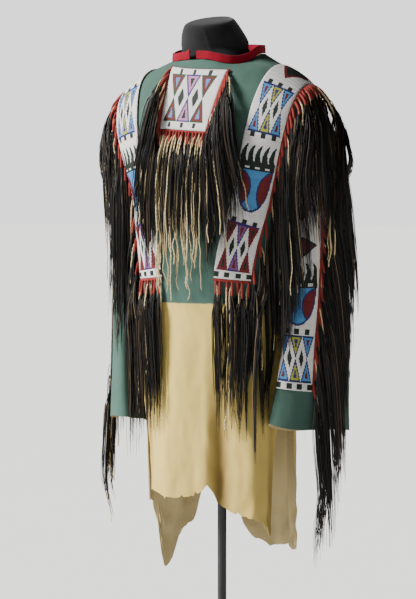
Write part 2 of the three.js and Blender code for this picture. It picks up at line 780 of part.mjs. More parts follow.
const flapEdge = (side) => (share, out, distance) => {
  const half = lerp(flap.topHalf, flap.bottomHalf, share);
  return flapPoint(side * (1 + out / half), share, distance);
};
const flapEnd = (share, out, distance) =>
  flapPoint(2 * share - 1, 1 + out / (flap.topZ - flap.bottomZ), distance);
addFringe("flap_left_fringe", flapEdge(1), flapSideLocks, 8);
addFringe("flap_right_fringe", flapEdge(-1), flapSideLocks, 8);
addFringe("flap_end_fringe", flapEnd, flapEndLocks, 8);

const shoulderFront = (share, out, distance) =>
  shoulderPoint(shoulderStrip.half + out, max(share, 0.01), distance);
const shoulderBack = (share, out, distance) =>
  shoulderPoint(shoulderStrip.half + out, -max(share, 0.01), distance);
const endStretch = 900; // millimetres for one step of the strip's share at its end
const shoulderEnd = (share, out, distance) =>
  shoulderPoint(acrossStrip(share, shoulderStrip.half), 1 + out / endStretch, distance);
const sleeveEdge = (side) => (share, out, distance) =>
  sleeveStripPoint(side, -sleeveStrip.half - out, share, distance);
for (const [side, mirror] of [
  ["left", false],
  ["right", true],
]) {
  addFringe(`${side}_shoulder_front_fringe`, shoulderFront, shoulderFrontLocks, 13, mirror);
  addFringe(`${side}_shoulder_back_fringe`, shoulderBack, shoulderBackLocks, 13, mirror);
  addFringe(`${side}_shoulder_end_fringe`, shoulderEnd, shoulderEndLocks, 6, mirror);
  addFringe(`${side}_sleeve_fringe`, sleeveEdge(side), sleeveLocks, 14, mirror);
}

// The dress form: a neck block over shoulders that the shirt rests on, closed below.
const formColumns = 18;
const formNeck = neckRings.map((ring) =>
  range(formColumns, (c) => {
    const turn = (2 * PI * c) / formColumns;
    return new THREE.Vector3(
      ring.side * sin(turn),
      ring.y - ring.deep * cos(turn),
      ring.z - ring.rise * cos(turn),
    );
  }),
);
const formBody = formRings.map(({ ring, inset }) =>
  range(formColumns, (c) => onBody((360 * c) / formColumns, ring, -inset, false)),
);
const formBottomZ = formBody.at(-1)[0].z;
const level = formBody.at(-1).map((point) => point.clone().setZ(formBottomZ));
const turned = (points, segments = 20) =>
  new THREE.LatheGeometry(
    points.map(([r, z]) => new THREE.Vector2(r, z)),
    segments,
  ).rotateX(PI / 2);
const pocket = turned([
  [0, formBottomZ - 5],
  [poleRadius + seam, formBottomZ - 5],
  [poleRadius + seam, formBottomZ + formPocket],
  [0, formBottomZ + formPocket],
]);
const formSolid = toSolid(loftGeometry([...formNeck, ...formBody.slice(0, -1), level]));
addNode("dress_form", fromSolid(formSolid.subtract(toSolid(pocket))), "form");

// The pole with its socket and base plate
addNode(
  "pole",
  turned([
    [0, plate.thick + seam],
    [poleRadius, plate.thick + seam],
    [poleRadius, formBottomZ + formPocket - seam],
    [0, formBottomZ + formPocket - seam],
  ]),
  "steel",
);
const socketBottom = plate.thick + seam;
addNode(
  "pole_socket",
  turned([
    [poleRadius + seam, socketBottom],
    [socket.radius, socketBottom],
    [socket.radius, socketBottom + socket.height - socket.bevel],
    [socket.radius - socket.bevel, socketBottom + socket.height],
    [poleRadius + seam, socketBottom + socket.height],
    [poleRadius + seam, socketBottom],
  ]),
  "steel",
);
addNode(
  "base_plate",
  turned(
    [
      [0, 0],
      [plate.radius, 0],
      [plate.radius, plate.thick - plate.bevel],
      [plate.radius - plate.bevel, plate.thick],
      [0, plate.thick],
    ],
    36,
  ),
  "steel",
);

export default part;
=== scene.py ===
"""Looks of a plains war shirt of painted hide on its dress form.

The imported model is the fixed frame. The surfaces below repeat the part's source, in millimetres,
with +X to the wearer's left and -Y to the wearer's front; the meshes are in metres.
"""

import math

import bpy
import numpy as np
from bpy.props import FloatProperty, FloatVectorProperty, IntProperty, PointerProperty
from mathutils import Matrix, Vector, noise
from mathutils.kdtree import KDTree


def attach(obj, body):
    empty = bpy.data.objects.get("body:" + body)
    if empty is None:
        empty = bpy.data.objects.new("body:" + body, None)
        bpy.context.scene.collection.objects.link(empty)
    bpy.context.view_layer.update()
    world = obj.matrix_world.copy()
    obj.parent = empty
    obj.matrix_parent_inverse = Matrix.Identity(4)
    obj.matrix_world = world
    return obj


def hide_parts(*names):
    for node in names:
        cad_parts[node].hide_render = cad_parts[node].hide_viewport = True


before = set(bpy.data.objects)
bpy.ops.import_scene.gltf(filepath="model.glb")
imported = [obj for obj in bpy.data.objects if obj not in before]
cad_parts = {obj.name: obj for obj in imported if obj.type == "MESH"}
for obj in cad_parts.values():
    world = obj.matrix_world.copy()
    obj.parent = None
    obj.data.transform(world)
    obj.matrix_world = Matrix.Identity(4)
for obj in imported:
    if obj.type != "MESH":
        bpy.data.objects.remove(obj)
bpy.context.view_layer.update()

bl_info = {
    "name": "Plains War Shirt",
    "version": (1, 0, 0),
    "blender": (4, 5, 0),
    "location": "View3D > Sidebar > War Shirt",
    "description": "Hides, beadwork, fringes and form of a plains war shirt",
    "category": "Object",
}

MM = 0.001

# The part's sizes, in millimetres and degrees
WALL = 2
SEAM = 0.4
LIFT = 1.3
GARMENT_Y = -12
SQUARENESS = 0.06
BEADWORK = 3.4
COLLAR_HEIGHT = 17
COLLAR_SLIT = (-13, -3)
FLAP = {"top": 1384, "bottom": 1259, "top_half": 65, "bottom_half": 54, "lift": -0.1}
FLAP_HANG = {"top_x": 6, "bottom_x": -11, "tilt": 4}
ARMHOLE = {"top": 5, "bottom": 9, "reach": 25}
EDGING = {"gap": 0.7, "width": 4.4}
STRIP_CLEAR = WALL / 2 + LIFT
HALVINGS = 26

BODY = {
    "side": (95, 122, 148, 174, 200, 223, 229, 218, 198, 180, 174, 171, 170, 168, 167, 167, 168, 169),
    "side_z": (1418, 1403, 1390, 1377, 1359, 1333, 1297, 1249, 1194, 1135, 1065, 990, 918, 800, 650,
               500, 350, 200),
    "front": (84, 94, 103, 111, 118, 124, 129, 132, 134, 134, 133, 131, 128, 124, 120, 118, 117, 117),
    "front_z": (1404, 1382, 1356, 1327, 1294, 1257, 1216, 1176, 1134, 1090, 1045, 990, 918, 800, 650,
                500, 350, 200),
    "back": (84, 97, 107, 114, 118, 120, 120, 118, 116, 113, 110, 107, 105, 106, 110, 114, 117, 118),
    "back_z": (1427, 1403, 1378, 1348, 1313, 1276, 1235, 1190, 1142, 1095, 1048, 990, 918, 800, 650,
               500, 350, 200),
}
LAST_RING = len(BODY["side"]) - 1

# Scoops of the neck edge: degrees from the centre front, width to either side, depth
NECK_SCOOPS = ((-58, 56, 10), (52, 50, 19))

# Folds: degrees from the centre front, width to either side, depth at the hem, upper end
FOLDS = (
    (-12, 17, 11, 960), (24, 13, -19, 940), (46, 11, 12, 920), (66, 9, -12, 900),
    (96, 12, 9, 900), (122, 13, -15, 960), (148, 14, 12, 930), (176, 14, -14, 980),
    (206, 15, 13, 940), (236, 12, -13, 960), (262, 14, 10, 900), (300, 28, -18, 860),
)
SIDE_EDGES = {
    "z": (300, 600, 800, 1000, 1140),
    "front_right": (-36, -42, -62, -86, -90),
    "front_left": (66, 69, 78, 88, 90),
    "back_left": (97, 95, 93, 91, 90),
    "back_right": (321, 315, 296, 272.5, 270),
}
FRONT_HEM = (
    (-90, -38, -25, -12, 3, 8, 13, 17, 21, 31, 45, 55, 61, 67, 90),
    (512, 514, 508, 505, 512, 520, 536, 520, 496, 482, 470, 462, 446, 430, 430),
)
BACK_HEM = (
    (90, 104, 114, 122, 140, 158, 170, 180, 190, 205, 213, 218, 228, 234, 239, 244, 249, 254, 260,
     284, 321),
    (408, 400, 386, 396, 390, 378, 396, 440, 492, 506, 494, 424, 408, 392, 338, 318, 352, 430, 470,
     488, 490),
)
SLEEVE = {
    "x": (201, 212, 219, 224, 227, 228, 228, 223, 218, 213),
    "y": (-3, 3, 10, 16, 20, 22, 18, 5, -9, -22),
    "z": (1236, 1210, 1172, 1127, 1060, 975, 886, 780, 656, 530),
    "tilt": (78, 73, 66, 57, 30, 8, 0, 0, 0, 0),
    "twist": (90, 89, 87, 84, 80, 75, 70, 65, 61, 58),
    "fore": (56, 59, 62, 65, 68, 72, 78, 87, 96, 104),
    "out": (103, 90, 74, 58, 38, 34, 35, 37, 39, 41),
}
CUFF = 8
BELOW_CUFF = 9
CUFF_SLANT = {"outer": -4, "fore": 9, "inner": -12, "aft": -9}
SLEEVE_CREASES = (
    (2.6, 200, -5, 0.7, 60), (4.3, 170, -5, 0.9, 50), (5.2, 250, -4, 1.1, 40),
    (6.9, 100, -5, 1.4, 32), (7.1, 275, -6, 1.6, 36),
)
SHOULDER = {"half": 38, "front_ring": 11.5, "back_ring": 10.9}
SHOULDER_LINE = (180, 179, 173, 161, 138, 97)
SLEEVE_STRIP = {"from": 0.5, "to": 7.4, "half": 36, "lift": 0.5}
SLEEVE_LINES = {"left": (50, 64, 76, 78, 68, 47), "right": (14, 10, 6, 4, 2, 0)}
NECK = {
    "y": (-52, -52, -44, -30, -28),
    "side": (44, 53, 64, 74, 75),
    "deep": (39, 48, 52, 56, 55),
    "z": (1488, 1483, 1466, 1442, 1426),
    "rise": (11, 13, 12, 7, 3),
}
FORM = (
    (0, 11), (0.6, 2.4), (1.2, 2.1), (1.9, 2.1), (2.6, 2.1), (3.3, 2.1), (4, 3.4), (4.6, 8),
    (5.3, 16), (6.2, 22), (7.4, 24), (8.6, 25), (10, 25), (11.4, 24), (12.75, 24),
)


def rounded(values, at):
    """A smooth curve through evenly spaced values."""
    values = np.asarray(values, float)
    at = np.asarray(at, float)
    last = len(values) - 1
    step = np.clip(np.floor(at).astype(int), 0, last - 1)
    u = at - step
    a, b, c, d = (values[np.clip(step + k, 0, last)] for k in (-1, 0, 1, 2))
    u = u.reshape(u.shape + (1,) * (values.ndim - 1))
    slope_in, slope_out = (c - a) / 2, (d - b) / 2
    twist = slope_in + slope_out + 2 * (b - c)
    bend = 3 * (c - b) - 2 * slope_in - slope_out
    return ((twist * u + bend) * u + slope_in) * u + b


def smooth_step(x):
    u = np.clip(x, 0, 1)
    return u * u * (3 - 2 * u)


def unit(vectors):
    return vectors / np.maximum(np.linalg.norm(vectors, axis=-1, keepdims=True), 1e-9)


def fold_depth(degrees, z):
    total = np.zeros(np.broadcast(degrees, z).shape)
    for at, width, depth, start in FOLDS:
        apart = np.minimum(np.abs((degrees - at + 540) % 360 - 180), width)
        across = (1 + np.cos(np.pi * apart / width)) / 2
        total = total + depth * across * smooth_step((start - z) / 430)
    return total


def neck_scoop(degrees, ring):
    """How far the neck edge has slipped down at each side of the slit."""
    total = np.zeros(np.shape(degrees))
    for at, width, depth in NECK_SCOOPS:
        apart = np.minimum(np.abs((degrees - at + 540) % 360 - 180), width)
        total = total + depth * (1 + np.cos(np.pi * apart / width)) / 2
    return total * np.maximum(0, 1 - ring / 2) ** 1.5


def body_point(degrees, ring, folded=True):
    """A point of the hides' middle surface."""
    degrees, ring = np.broadcast_arrays(np.asarray(degrees, float), np.asarray(ring, float))
    angle = np.radians(degrees)
    across, along = np.sin(angle), np.cos(angle)
    front = along > 0
    bulge = 1 + SQUARENESS * np.sin(2 * angle) ** 2
    end_z = np.where(front, rounded(BODY["front_z"], ring), rounded(BODY["back_z"], ring))
    z = rounded(BODY["side_z"], ring) * across**2 + end_z * along**2 - neck_scoop(degrees, ring)
    depth = np.where(front, rounded(BODY["front"], ring), rounded(BODY["back"], ring))
    plan_x = rounded(BODY["side"], ring) * across * bulge
    plan_y = -depth * along * bulge
    if folded:
        scale = 1 + fold_depth(degrees, z) / np.hypot(plan_x, plan_y)
        plan_x, plan_y = plan_x * scale, plan_y * scale
    return np.stack([plan_x, plan_y + GARMENT_Y, z], axis=-1)


def moved(surface, u, v, step_u, step_v, distance):
    """Points of a surface moved out along its normal."""
    along_u = surface(u + step_u, v) - surface(u - step_u, v)
    along_v = surface(u, v + step_v) - surface(u, v - step_v)
    normal = unit(np.cross(along_v, along_u))
    return surface(u, v) + normal * np.asarray(distance, float)[..., None]


def on_body(degrees, ring, distance, folded=True):
    degrees, ring = np.asarray(degrees, float), np.asarray(ring, float)
    return moved(lambda u, v: body_point(u, v, folded), degrees, ring, 0.5, 0.02, distance)


def halved(low, high, past):
    """The place between two bounds up to which a test holds."""
    for _ in range(HALVINGS):
        middle = (low + high) / 2
        holds = past(middle)
        low = np.where(holds, middle, low)
        high = np.where(holds, high, middle)
    return (low + high) / 2


def ring_at_height(degrees, z):
    degrees, z = np.broadcast_arrays(np.asarray(degrees, float), np.asarray(z, float))
    top = np.zeros(degrees.shape)
    return halved(top, top + LAST_RING, lambda ring: body_point(degrees, ring, False)[..., 2] > z)


def angle_at_x(x, ring):
    x, ring = np.broadcast_arrays(np.asarray(x, float), np.asarray(ring, float))
    front = np.zeros(x.shape)
    return halved(front, front + 90, lambda turn: body_point(turn, ring, False)[..., 0] < x)


def place_on_front(x, z):
    degrees = np.zeros(np.shape(x))
    for _ in range(8):
        ring = ring_at_height(degrees, z)
        degrees = angle_at_x(np.abs(x), ring)
    return np.sign(x) * degrees, ring


def flap_point(across, down, distance):
    z = FLAP["top"] + (FLAP["bottom"] - FLAP["top"]) * down
    half = FLAP["top_half"] + (FLAP["bottom_half"] - FLAP["top_half"]) * down
    lean = FLAP_HANG["top_x"] + (FLAP_HANG["bottom_x"] - FLAP_HANG["top_x"]) * down
    degrees, ring = place_on_front(across * half + lean, z - FLAP_HANG["tilt"] * across)
    return on_body(degrees, ring, distance + FLAP["lift"] + 3 * down**2, False)


def shoulder_ring(x):
    place = halved(
        np.array(0.0), np.array(float(ARMHOLE["top"])), lambda ring: body_point(90, ring, False)[..., 0] < x
    )
    return float(place)


SHOULDER_TOP = shoulder_ring(SHOULDER_LINE[0])


def shoulder_middle(along):
    along = np.asarray(along, float)
    x = rounded(SHOULDER_LINE, np.abs(along) * (len(SHOULDER_LINE) - 1))
    end = np.where(along > 0, SHOULDER["front_ring"], SHOULDER["back_ring"])
    ring = SHOULDER_TOP + (end - SHOULDER_TOP) * along**2
    degrees = np.where(along == 0, 90.0, angle_at_x(x, ring))
    return np.where(along < 0, 180 - degrees, degrees), ring


def walked(degrees, ring, direction, distance, steps=6):
    """The place on the body at a distance in a direction in space."""
    for _ in range(steps):
        across = body_point(degrees + 0.5, ring, False) - body_point(degrees - 0.5, ring, False)
        down = body_point(degrees, ring + 0.02, False) - body_point(degrees, ring - 0.02, False)
        down = down * 25
        a, b, c = (np.sum(p * q, -1) for p, q in ((across, across), (across, down), (down, down)))
        p, q = np.sum(across * direction, -1), np.sum(down * direction, -1)
        scale = distance / steps / (a * c - b * b)
        degrees = degrees + (c * p - b * q) * scale
        ring = ring + (a * q - b * p) * scale
    return degrees, ring


def shoulder_point(offset, along, distance):
    offset, along = np.broadcast_arrays(np.asarray(offset, float), np.asarray(along, float))
    middle = shoulder_middle(along)
    ahead, behind = shoulder_middle(along + 0.01), shoulder_middle(along - 0.01)
    tangent = on_body(*ahead, 0, False) - on_body(*behind, 0, False)
    normal = on_body(*middle, 1, False) - on_body(*middle, 0, False)
    sideways = unit(np.cross(tangent, normal))
    sideways = sideways * np.where(sideways[..., :1] < 0, -1, 1)
    return on_body(*walked(*middle, sideways, offset), distance, False)


def armhole_ring(turn):
    middle = (ARMHOLE["top"] + ARMHOLE["bottom"]) / 2
    return middle - (ARMHOLE["bottom"] - ARMHOLE["top"]) / 2 * np.cos(turn)


def armhole_cut(ring):
    half = (ARMHOLE["bottom"] - ARMHOLE["top"]) / 2
    off = (ring - (ARMHOLE["top"] + ARMHOLE["bottom"]) / 2) / half
    return ARMHOLE["reach"] * np.sqrt(np.maximum(0, 1 - off * off))


def station_point(turn, station):
    value = {key: rounded(column, station) for key, column in SLEEVE.items()}
    twist, tilt = np.radians(value["twist"]), np.radians(value["tilt"])
    none = np.zeros(np.broadcast(turn, station).shape)
    fore = np.stack(np.broadcast_arrays(-np.cos(twist), -np.sin(twist), none), -1)
    out = np.stack(
        np.broadcast_arrays(
            np.sin(twist) * np.cos(tilt), -np.cos(twist) * np.cos(tilt), np.sin(tilt), none)[:3],
        -1,
    )
    cos, sin = np.cos(turn), np.sin(turn)
    slant = np.where(cos > 0, CUFF_SLANT["outer"] * cos, -CUFF_SLANT["inner"] * cos)
    slant = slant + np.where(sin > 0, CUFF_SLANT["fore"] * sin, -CUFF_SLANT["aft"] * sin)
    height = value["z"] + slant * np.maximum(0, station - 5) / 3
    middle = np.stack(np.broadcast_arrays(value["x"] + none, value["y"] + GARMENT_Y, height), -1)
    return middle + out * (value["out"] * cos)[..., None] + fore * (value["fore"] * sin)[..., None]


def sleeve_point(turn, station):
    turn, station = np.broadcast_arrays(np.asarray(turn, float), np.asarray(station, float))
    point = station_point(turn, station)
    settle = np.maximum(0, 1 - station / 2.2) ** 2
    ring = armhole_ring(turn)
    edge = body_point(90 - np.sign(np.sin(turn)) * armhole_cut(ring), ring)
    edge[..., 0] += 0.8 + 1.3 * (1 - np.cos(turn))
    return point + (edge - station_point(turn, np.zeros(turn.shape))) * settle[..., None]


def sleeve_crease(turn, station):
    total = np.zeros(np.broadcast(turn, station).shape)
    for at, degrees, depth, length, width in SLEEVE_CREASES:
        apart = np.abs((np.degrees(turn) - degrees + 540) % 360 - 180) / width
        reach = np.minimum(np.hypot(apart, np.abs(station - at) / length), 1)
        total = total + depth * (1 + np.cos(np.pi * reach)) / 2
    return total


def on_sleeve(turn, station, distance):
    turn, station = np.broadcast_arrays(np.asarray(turn, float), np.asarray(station, float))
    off = distance + sleeve_crease(turn, station)
    return moved(sleeve_point, turn, station, 0.02, 0.02, -off)


def sleeve_strip_point(side, offset, down, distance):
    offset, down = np.broadcast_arrays(np.asarray(offset, float), np.asarray(down, float))
    station = SLEEVE_STRIP["from"] + (SLEEVE_STRIP["to"] - SLEEVE_STRIP["from"]) * down
    turn = np.radians(rounded(SLEEVE_LINES[side], down * (len(SLEEVE_LINES[side]) - 1)))
    for _ in range(6):
        ahead = sleeve_point(turn + 0.01, station) - sleeve_point(turn - 0.01, station)
        turn = turn + offset / 6 * 0.02 / np.linalg.norm(ahead, axis=-1)
    return on_sleeve(turn, station, distance + SLEEVE_STRIP["lift"])





# ---------------------------------------------------------------------------------------------
# Nodes


class Value:
    """A socket of a node tree. Sums on it add Math nodes."""

    def __init__(self, tree, socket):
        self.tree = tree
        self.socket = socket

    def math(self, operation, *terms):
        return self.tree.add("ShaderNodeMath", {"operation": operation}, dict(enumerate(terms)))

    def __add__(self, other):
        return self.math("ADD", self, other)

    def __radd__(self, other):
        return self.math("ADD", other, self)

    def __sub__(self, other):
        return self.math("SUBTRACT", self, other)

    def __rsub__(self, other):
        return self.math("SUBTRACT", other, self)

    def __mul__(self, other):
        return self.math("MULTIPLY", self, other)

    def __rmul__(self, other):
        return self.math("MULTIPLY", other, self)

    def __truediv__(self, other):
        return self.math("DIVIDE", self, other)

    def __pow__(self, other):
        return self.math("POWER", self, other)

    def size(self):
        return self.math("ABSOLUTE", self)

    def sine(self):
        return self.math("SINE", self)

    def clamped(self):
        return self.tree.add(
            "ShaderNodeMath", {"operation": "ADD", "use_clamp": True}, {0: self, 1: 0.0}
        )


class Tree:
    """Adds nodes to a node tree, each by its kind, its settings and what its sockets get."""

    def __init__(self, nodes):
        self.nodes = nodes

    def add(self, kind, settings=None, sockets=None, output=0):
        node = self.nodes.nodes.new(kind)
        for name, value in (settings or {}).items():
            if name == "stops":
                fill_ramp(node.color_ramp, value)
            else:
                setattr(node, name, value)
        for key, value in (sockets or {}).items():
            self.feed(node.inputs[key], value)
        return None if output is None else Value(self, node.outputs[output])

    def feed(self, socket, value):
        for one in value if isinstance(value, list) else [value]:
            if isinstance(one, Value):
                self.nodes.links.new(one.socket, socket)
            else:
                socket.default_value = one

    def second(self, value, output):
        return Value(self, value.socket.node.outputs[output])

    def place(self, scale=None):
        spot = self.add("ShaderNodeTexCoord", output=3)
        if scale is None:
            return spot
        return self.add("ShaderNodeMapping", None, {"Vector": spot, "Scale": scale})

    def cloud(self, scale, detail=4.0, roughness=0.55, at=None):
        sockets = {"Vector": at or self.place(), "Scale": scale, "Detail": detail, "Roughness": roughness}
        return self.add("ShaderNodeTexNoise", None, sockets)

    def mix(self, factor, first, second):
        return self.add("ShaderNodeMix", {"data_type": "RGBA"}, {0: factor, 6: first, 7: second}, 2)

    def held(self, name, output=2):
        return self.add("ShaderNodeAttribute", {"attribute_name": name}, output=output)

    def ramp(self, factor, stops):
        return self.add("ShaderNodeValToRGB", {"stops": stops}, {0: factor})

    def bump(self, height, strength, distance, normal=None):
        sockets = {"Strength": strength, "Distance": distance, "Height": height}
        if normal is not None:
            sockets["Normal"] = normal
        return self.add("ShaderNodeBump", None, sockets)


def fill_ramp(ramp, stops):
    while len(ramp.elements) > 1:
        ramp.elements.remove(ramp.elements[-1])
    for i, (position, colour) in enumerate(stops):
        element = ramp.elements[0] if i == 0 else ramp.elements.new(position)
        element.position = position
        element.color = colour


def rgb(colour):
    return (*colour[:3], 1.0)


def dimmed(colour, factor):
    return (*(c * factor for c in colour[:3]), 1.0)


def new_finish(name, **constants):
    """A material with a Principled shader, its constants set on the shader's own sockets."""
    material = bpy.data.materials.new(name)
    material.use_nodes = True
    shader = material.node_tree.nodes["Principled BSDF"]
    for key, value in constants.items():
        shader.inputs[key.replace("_", " ").title().replace("Ior", "IOR")].default_value = value
    return material, Tree(material.node_tree), shader.inputs


# ---------------------------------------------------------------------------------------------
# Finishes


def hide_finish(name, colours, paint_line):
    """Brain-tanned hide: green paint above the line, smoked and pale below, bare inside; painted shade
    darkens the fold valleys of the skirt.
    """
    material, tree, inputs = new_finish(name, sheen_weight=0.02, sheen_roughness=0.5, specular_ior_level=0.08)
    height = tree.second(tree.add("ShaderNodeSeparateXYZ", None, {0: tree.place()}), 2)
    patches = tree.cloud(9.0, 5.0, 0.6)
    drawn = tree.cloud(1.0, 5.0, 0.62, tree.place((38.0, 38.0, 5.0)))
    mottle = ((patches - 0.5) * 2.2 + 0.5).clamped()
    paint = tree.mix(mottle, dimmed(colours.green_paint, 0.82), dimmed(colours.green_paint, 1.16))
    paint = tree.mix(((drawn - 0.56) * 3.0).clamped() * 0.3, paint, dimmed(colours.green_paint, 0.6))
    bare = tree.mix(mottle, dimmed(colours.raw_hide, 0.86), dimmed(colours.raw_hide, 1.08))
    bare = tree.mix(((drawn - 0.5) * 2.6).clamped() * 0.4, bare, rgb(colours.smoked_hide_and_fold_shade))
    low = ((0.80 - height) * 2.4).clamped() * 0.3
    bare = tree.mix(low, bare, rgb(colours.smoked_hide_and_fold_shade))
    # painted shade: the skirt's fold valleys are coloured much darker, as the shade in the creases
    bare = tree.mix(tree.held("valley") * 0.85, bare, dimmed(colours.smoked_hide_and_fold_shade, 0.36))
    if paint_line is not None:
        wander = (tree.cloud(26.0, 3.0) - 0.5) * 0.008
        painted = ((height - paint_line + wander) * 400.0 + 0.5).clamped()
        outer = tree.mix(painted, bare, paint)
    else:
        outer = paint
    flesh = tree.mix(mottle, dimmed(colours.flesh_side, 0.8), dimmed(colours.flesh_side, 1.1))
    colour = tree.mix(tree.held("inside"), outer, flesh)
    tree.feed(inputs["Base Color"], colour)
    tree.feed(inputs["Roughness"], 0.8 + patches * 0.2)
    nap = tree.cloud(900.0, 3.0, 0.7)
    grain = tree.cloud(160.0, 5.0, 0.65)
    soft = tree.bump(tree.cloud(26.0, 4.0), 0.35, 0.004)
    fine = tree.bump(grain * 0.7 + nap * 0.3, 0.35, 0.0012, soft)
    tree.feed(inputs["Normal"], fine)
    return material


def wool_finish(name, colour):
    material, tree, inputs = new_finish(name, sheen_weight=0.04, sheen_roughness=0.5, specular_ior_level=0.06)
    felt = tree.cloud(420.0, 5.0, 0.7)
    worn = tree.cloud(34.0, 4.0)
    base = tree.mix((worn * 1.6 - 0.3).clamped(), dimmed(colour, 0.7), dimmed(colour, 1.15))
    tree.feed(inputs["Base Color"], tree.mix(felt * 0.5, base, dimmed(colour, 0.45)))
    tree.feed(inputs["Roughness"], 0.85 + felt * 0.15)
    tree.feed(inputs["Normal"], tree.bump(felt, 0.5, 0.001))
    return material


def bead_finish(name):
    """Small glass beads in rows: colour from the worked pattern, roundness and painted shade at each bead's
    rim from the panel's UV.
    """
    material, tree, inputs = new_finish(name, coat_roughness=0.4, specular_ior_level=0.12)
    cell = tree.add("ShaderNodeSeparateXYZ", None, {0: tree.add("ShaderNodeTexCoord", output=2)})
    across = (cell * math.pi).sine().size()
    along = (tree.second(cell, 1) * math.pi).sine().size()
    round_top = (across * along) ** 0.5
    odd = tree.add("ShaderNodeTexWhiteNoise", {"noise_dimensions": "2D"}, {0: tree.add(
        "ShaderNodeVectorMath", {"operation": "FLOOR"}, {0: tree.add("ShaderNodeTexCoord", output=2)})})
    worked = tree.held("beads", 0)
    # painted shade: each bead is coloured darker towards its rim and in the gaps between beads
    gap = tree.mix(1.0, worked, (0.05, 0.045, 0.04, 1.0))
    shade = tree.mix(0.72 + round_top * 0.28, gap, worked)
    colour = tree.mix(odd * 0.22, shade, (0.02, 0.02, 0.02, 1.0))
    back = tree.cloud(240.0, 4.0)
    lining = tree.mix(back, (0.20, 0.15, 0.09, 1.0), (0.32, 0.25, 0.16, 1.0))
    tree.feed(inputs["Base Color"], tree.mix(tree.held("inside"), colour, lining))
    tree.feed(inputs["Roughness"], 0.42 + odd * 0.2)
    tree.feed(inputs["Coat Weight"], 0.03 * round_top)
    tree.feed(inputs["Normal"], tree.bump(round_top + odd * 0.15, 0.5, 0.0007))
    return material


def hair_finish(name, colours):
    material, tree, inputs = new_finish(name, specular_ior_level=0.2)
    tone = tree.held("tone")
    dark = rgb(colours.hair)
    stops = ((0.0, dark), (0.78, dimmed(colours.hair, 1.5)), (0.93, (0.026, 0.016, 0.010, 1.0)),
             (0.98, (0.07, 0.044, 0.023, 1.0)), (1.0, (0.20, 0.14, 0.075, 1.0)))
    tree.feed(inputs["Base Color"], tree.ramp(tone, stops))
    tree.feed(inputs["Roughness"], 0.34 + tree.cloud(300.0, 2.0) * 0.22)
    return material


def thong_finish(name, colours):
    material, tree, inputs = new_finish(name, sheen_weight=0.2, specular_ior_level=0.15)
    tone = tree.held("tone")
    spots = tree.cloud(130.0, 4.0, 0.65)
    base = tree.mix(tone, dimmed(colours.thong, 0.62), dimmed(colours.thong, 1.1))
    tree.feed(inputs["Base Color"], tree.mix((spots - 0.35).clamped(), base, rgb(colours.smoked_hide_and_fold_shade)))
    tree.feed(inputs["Roughness"], 0.8 + spots * 0.2)
    tree.feed(inputs["Normal"], tree.bump(spots, 0.5, 0.0008))
    return material


def knit_finish(name, colour):
    """Black stretch cloth over the form."""
    material, tree, inputs = new_finish(
        name, sheen_weight=0.12, sheen_roughness=0.45, specular_ior_level=0.12)
    place = tree.add("ShaderNodeSeparateXYZ", None, {0: tree.place()})
    ribs = ((tree.second(place, 2) * 2600.0).sine() * 0.5 + (place * 3100.0).sine() * 0.5) * 0.5 + 0.5
    lint = tree.cloud(60.0, 5.0, 0.65)
    threads = tree.mix((lint * 1.4 - 0.4).clamped(), dimmed(colour, 0.7), dimmed(colour, 1.8))
    tree.feed(inputs["Base Color"], threads)
    tree.feed(inputs["Roughness"], 0.8 + lint * 0.2)
    tree.feed(inputs["Normal"], tree.bump(ribs * 0.4 + lint * 0.6, 0.35, 0.0012))
    return material


def steel_finish(name):
    material, tree, inputs = new_finish(name, metallic=0.2, specular_ior_level=0.4)
    wear = tree.cloud(45.0, 6.0, 0.7)
    fine = tree.cloud(700.0, 3.0, 0.6)
    tree.feed(inputs["Base Color"], tree.mix(wear, (0.006, 0.006, 0.007, 1.0), (0.016, 0.016, 0.018, 1.0)))
    tree.feed(inputs["Roughness"], 0.38 + wear * 0.25)
    tree.feed(inputs["Normal"], tree.bump(fine, 0.15, 0.0003))
    return material


def floor_finish(name, colour):
    material, tree, inputs = new_finish(name, specular_ior_level=0.2)
    grain = tree.cloud(3.0, 4.0)
    tree.feed(inputs["Base Color"], tree.mix(grain, dimmed(colour, 0.985), rgb(colour)))
    tree.feed(inputs["Roughness"], 0.75 + grain * 0.1)
    return material


def finish(name):
    """A finish by its name, made when it is first asked for."""
    made = bpy.data.materials.get(name)
    if made is not None:
        return made
    colours = bpy.context.scene.war_shirt_colours
    makers = {
        "painted_hide": lambda: hide_finish(name, colours, PAINT_LINE),
        "painted_sleeve": lambda: hide_finish(name, colours, None),
        "red_wool": lambda: wool_finish(name, colours.red_wool),
        "wrap_wool": lambda: wool_finish(name, colours.wrap_wool),
        "worked_beads": lambda: bead_finish(name),
        "horse_hair": lambda: hair_finish(name, colours),
        "hide_thong": lambda: thong_finish(name, colours),
        "sinew": lambda: wool_finish(name, colours.sinew),
        "form_knit": lambda: knit_finish(name, colours.form_cloth),
        "black_steel": lambda: steel_finish(name),
        "studio_floor": lambda: floor_finish(name, colours.floor),
    }
    return makers[name]()


# ---------------------------------------------------------------------------------------------
# Meshes

PAINT_LINE = 0.908


def new_piece(name, mesh, slot, *materials):
    for material in materials:
        mesh.materials.append(material)
    piece = bpy.data.objects.new(name, mesh)
    bpy.context.scene.collection.objects.link(piece)
    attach(piece, "root")
    return piece


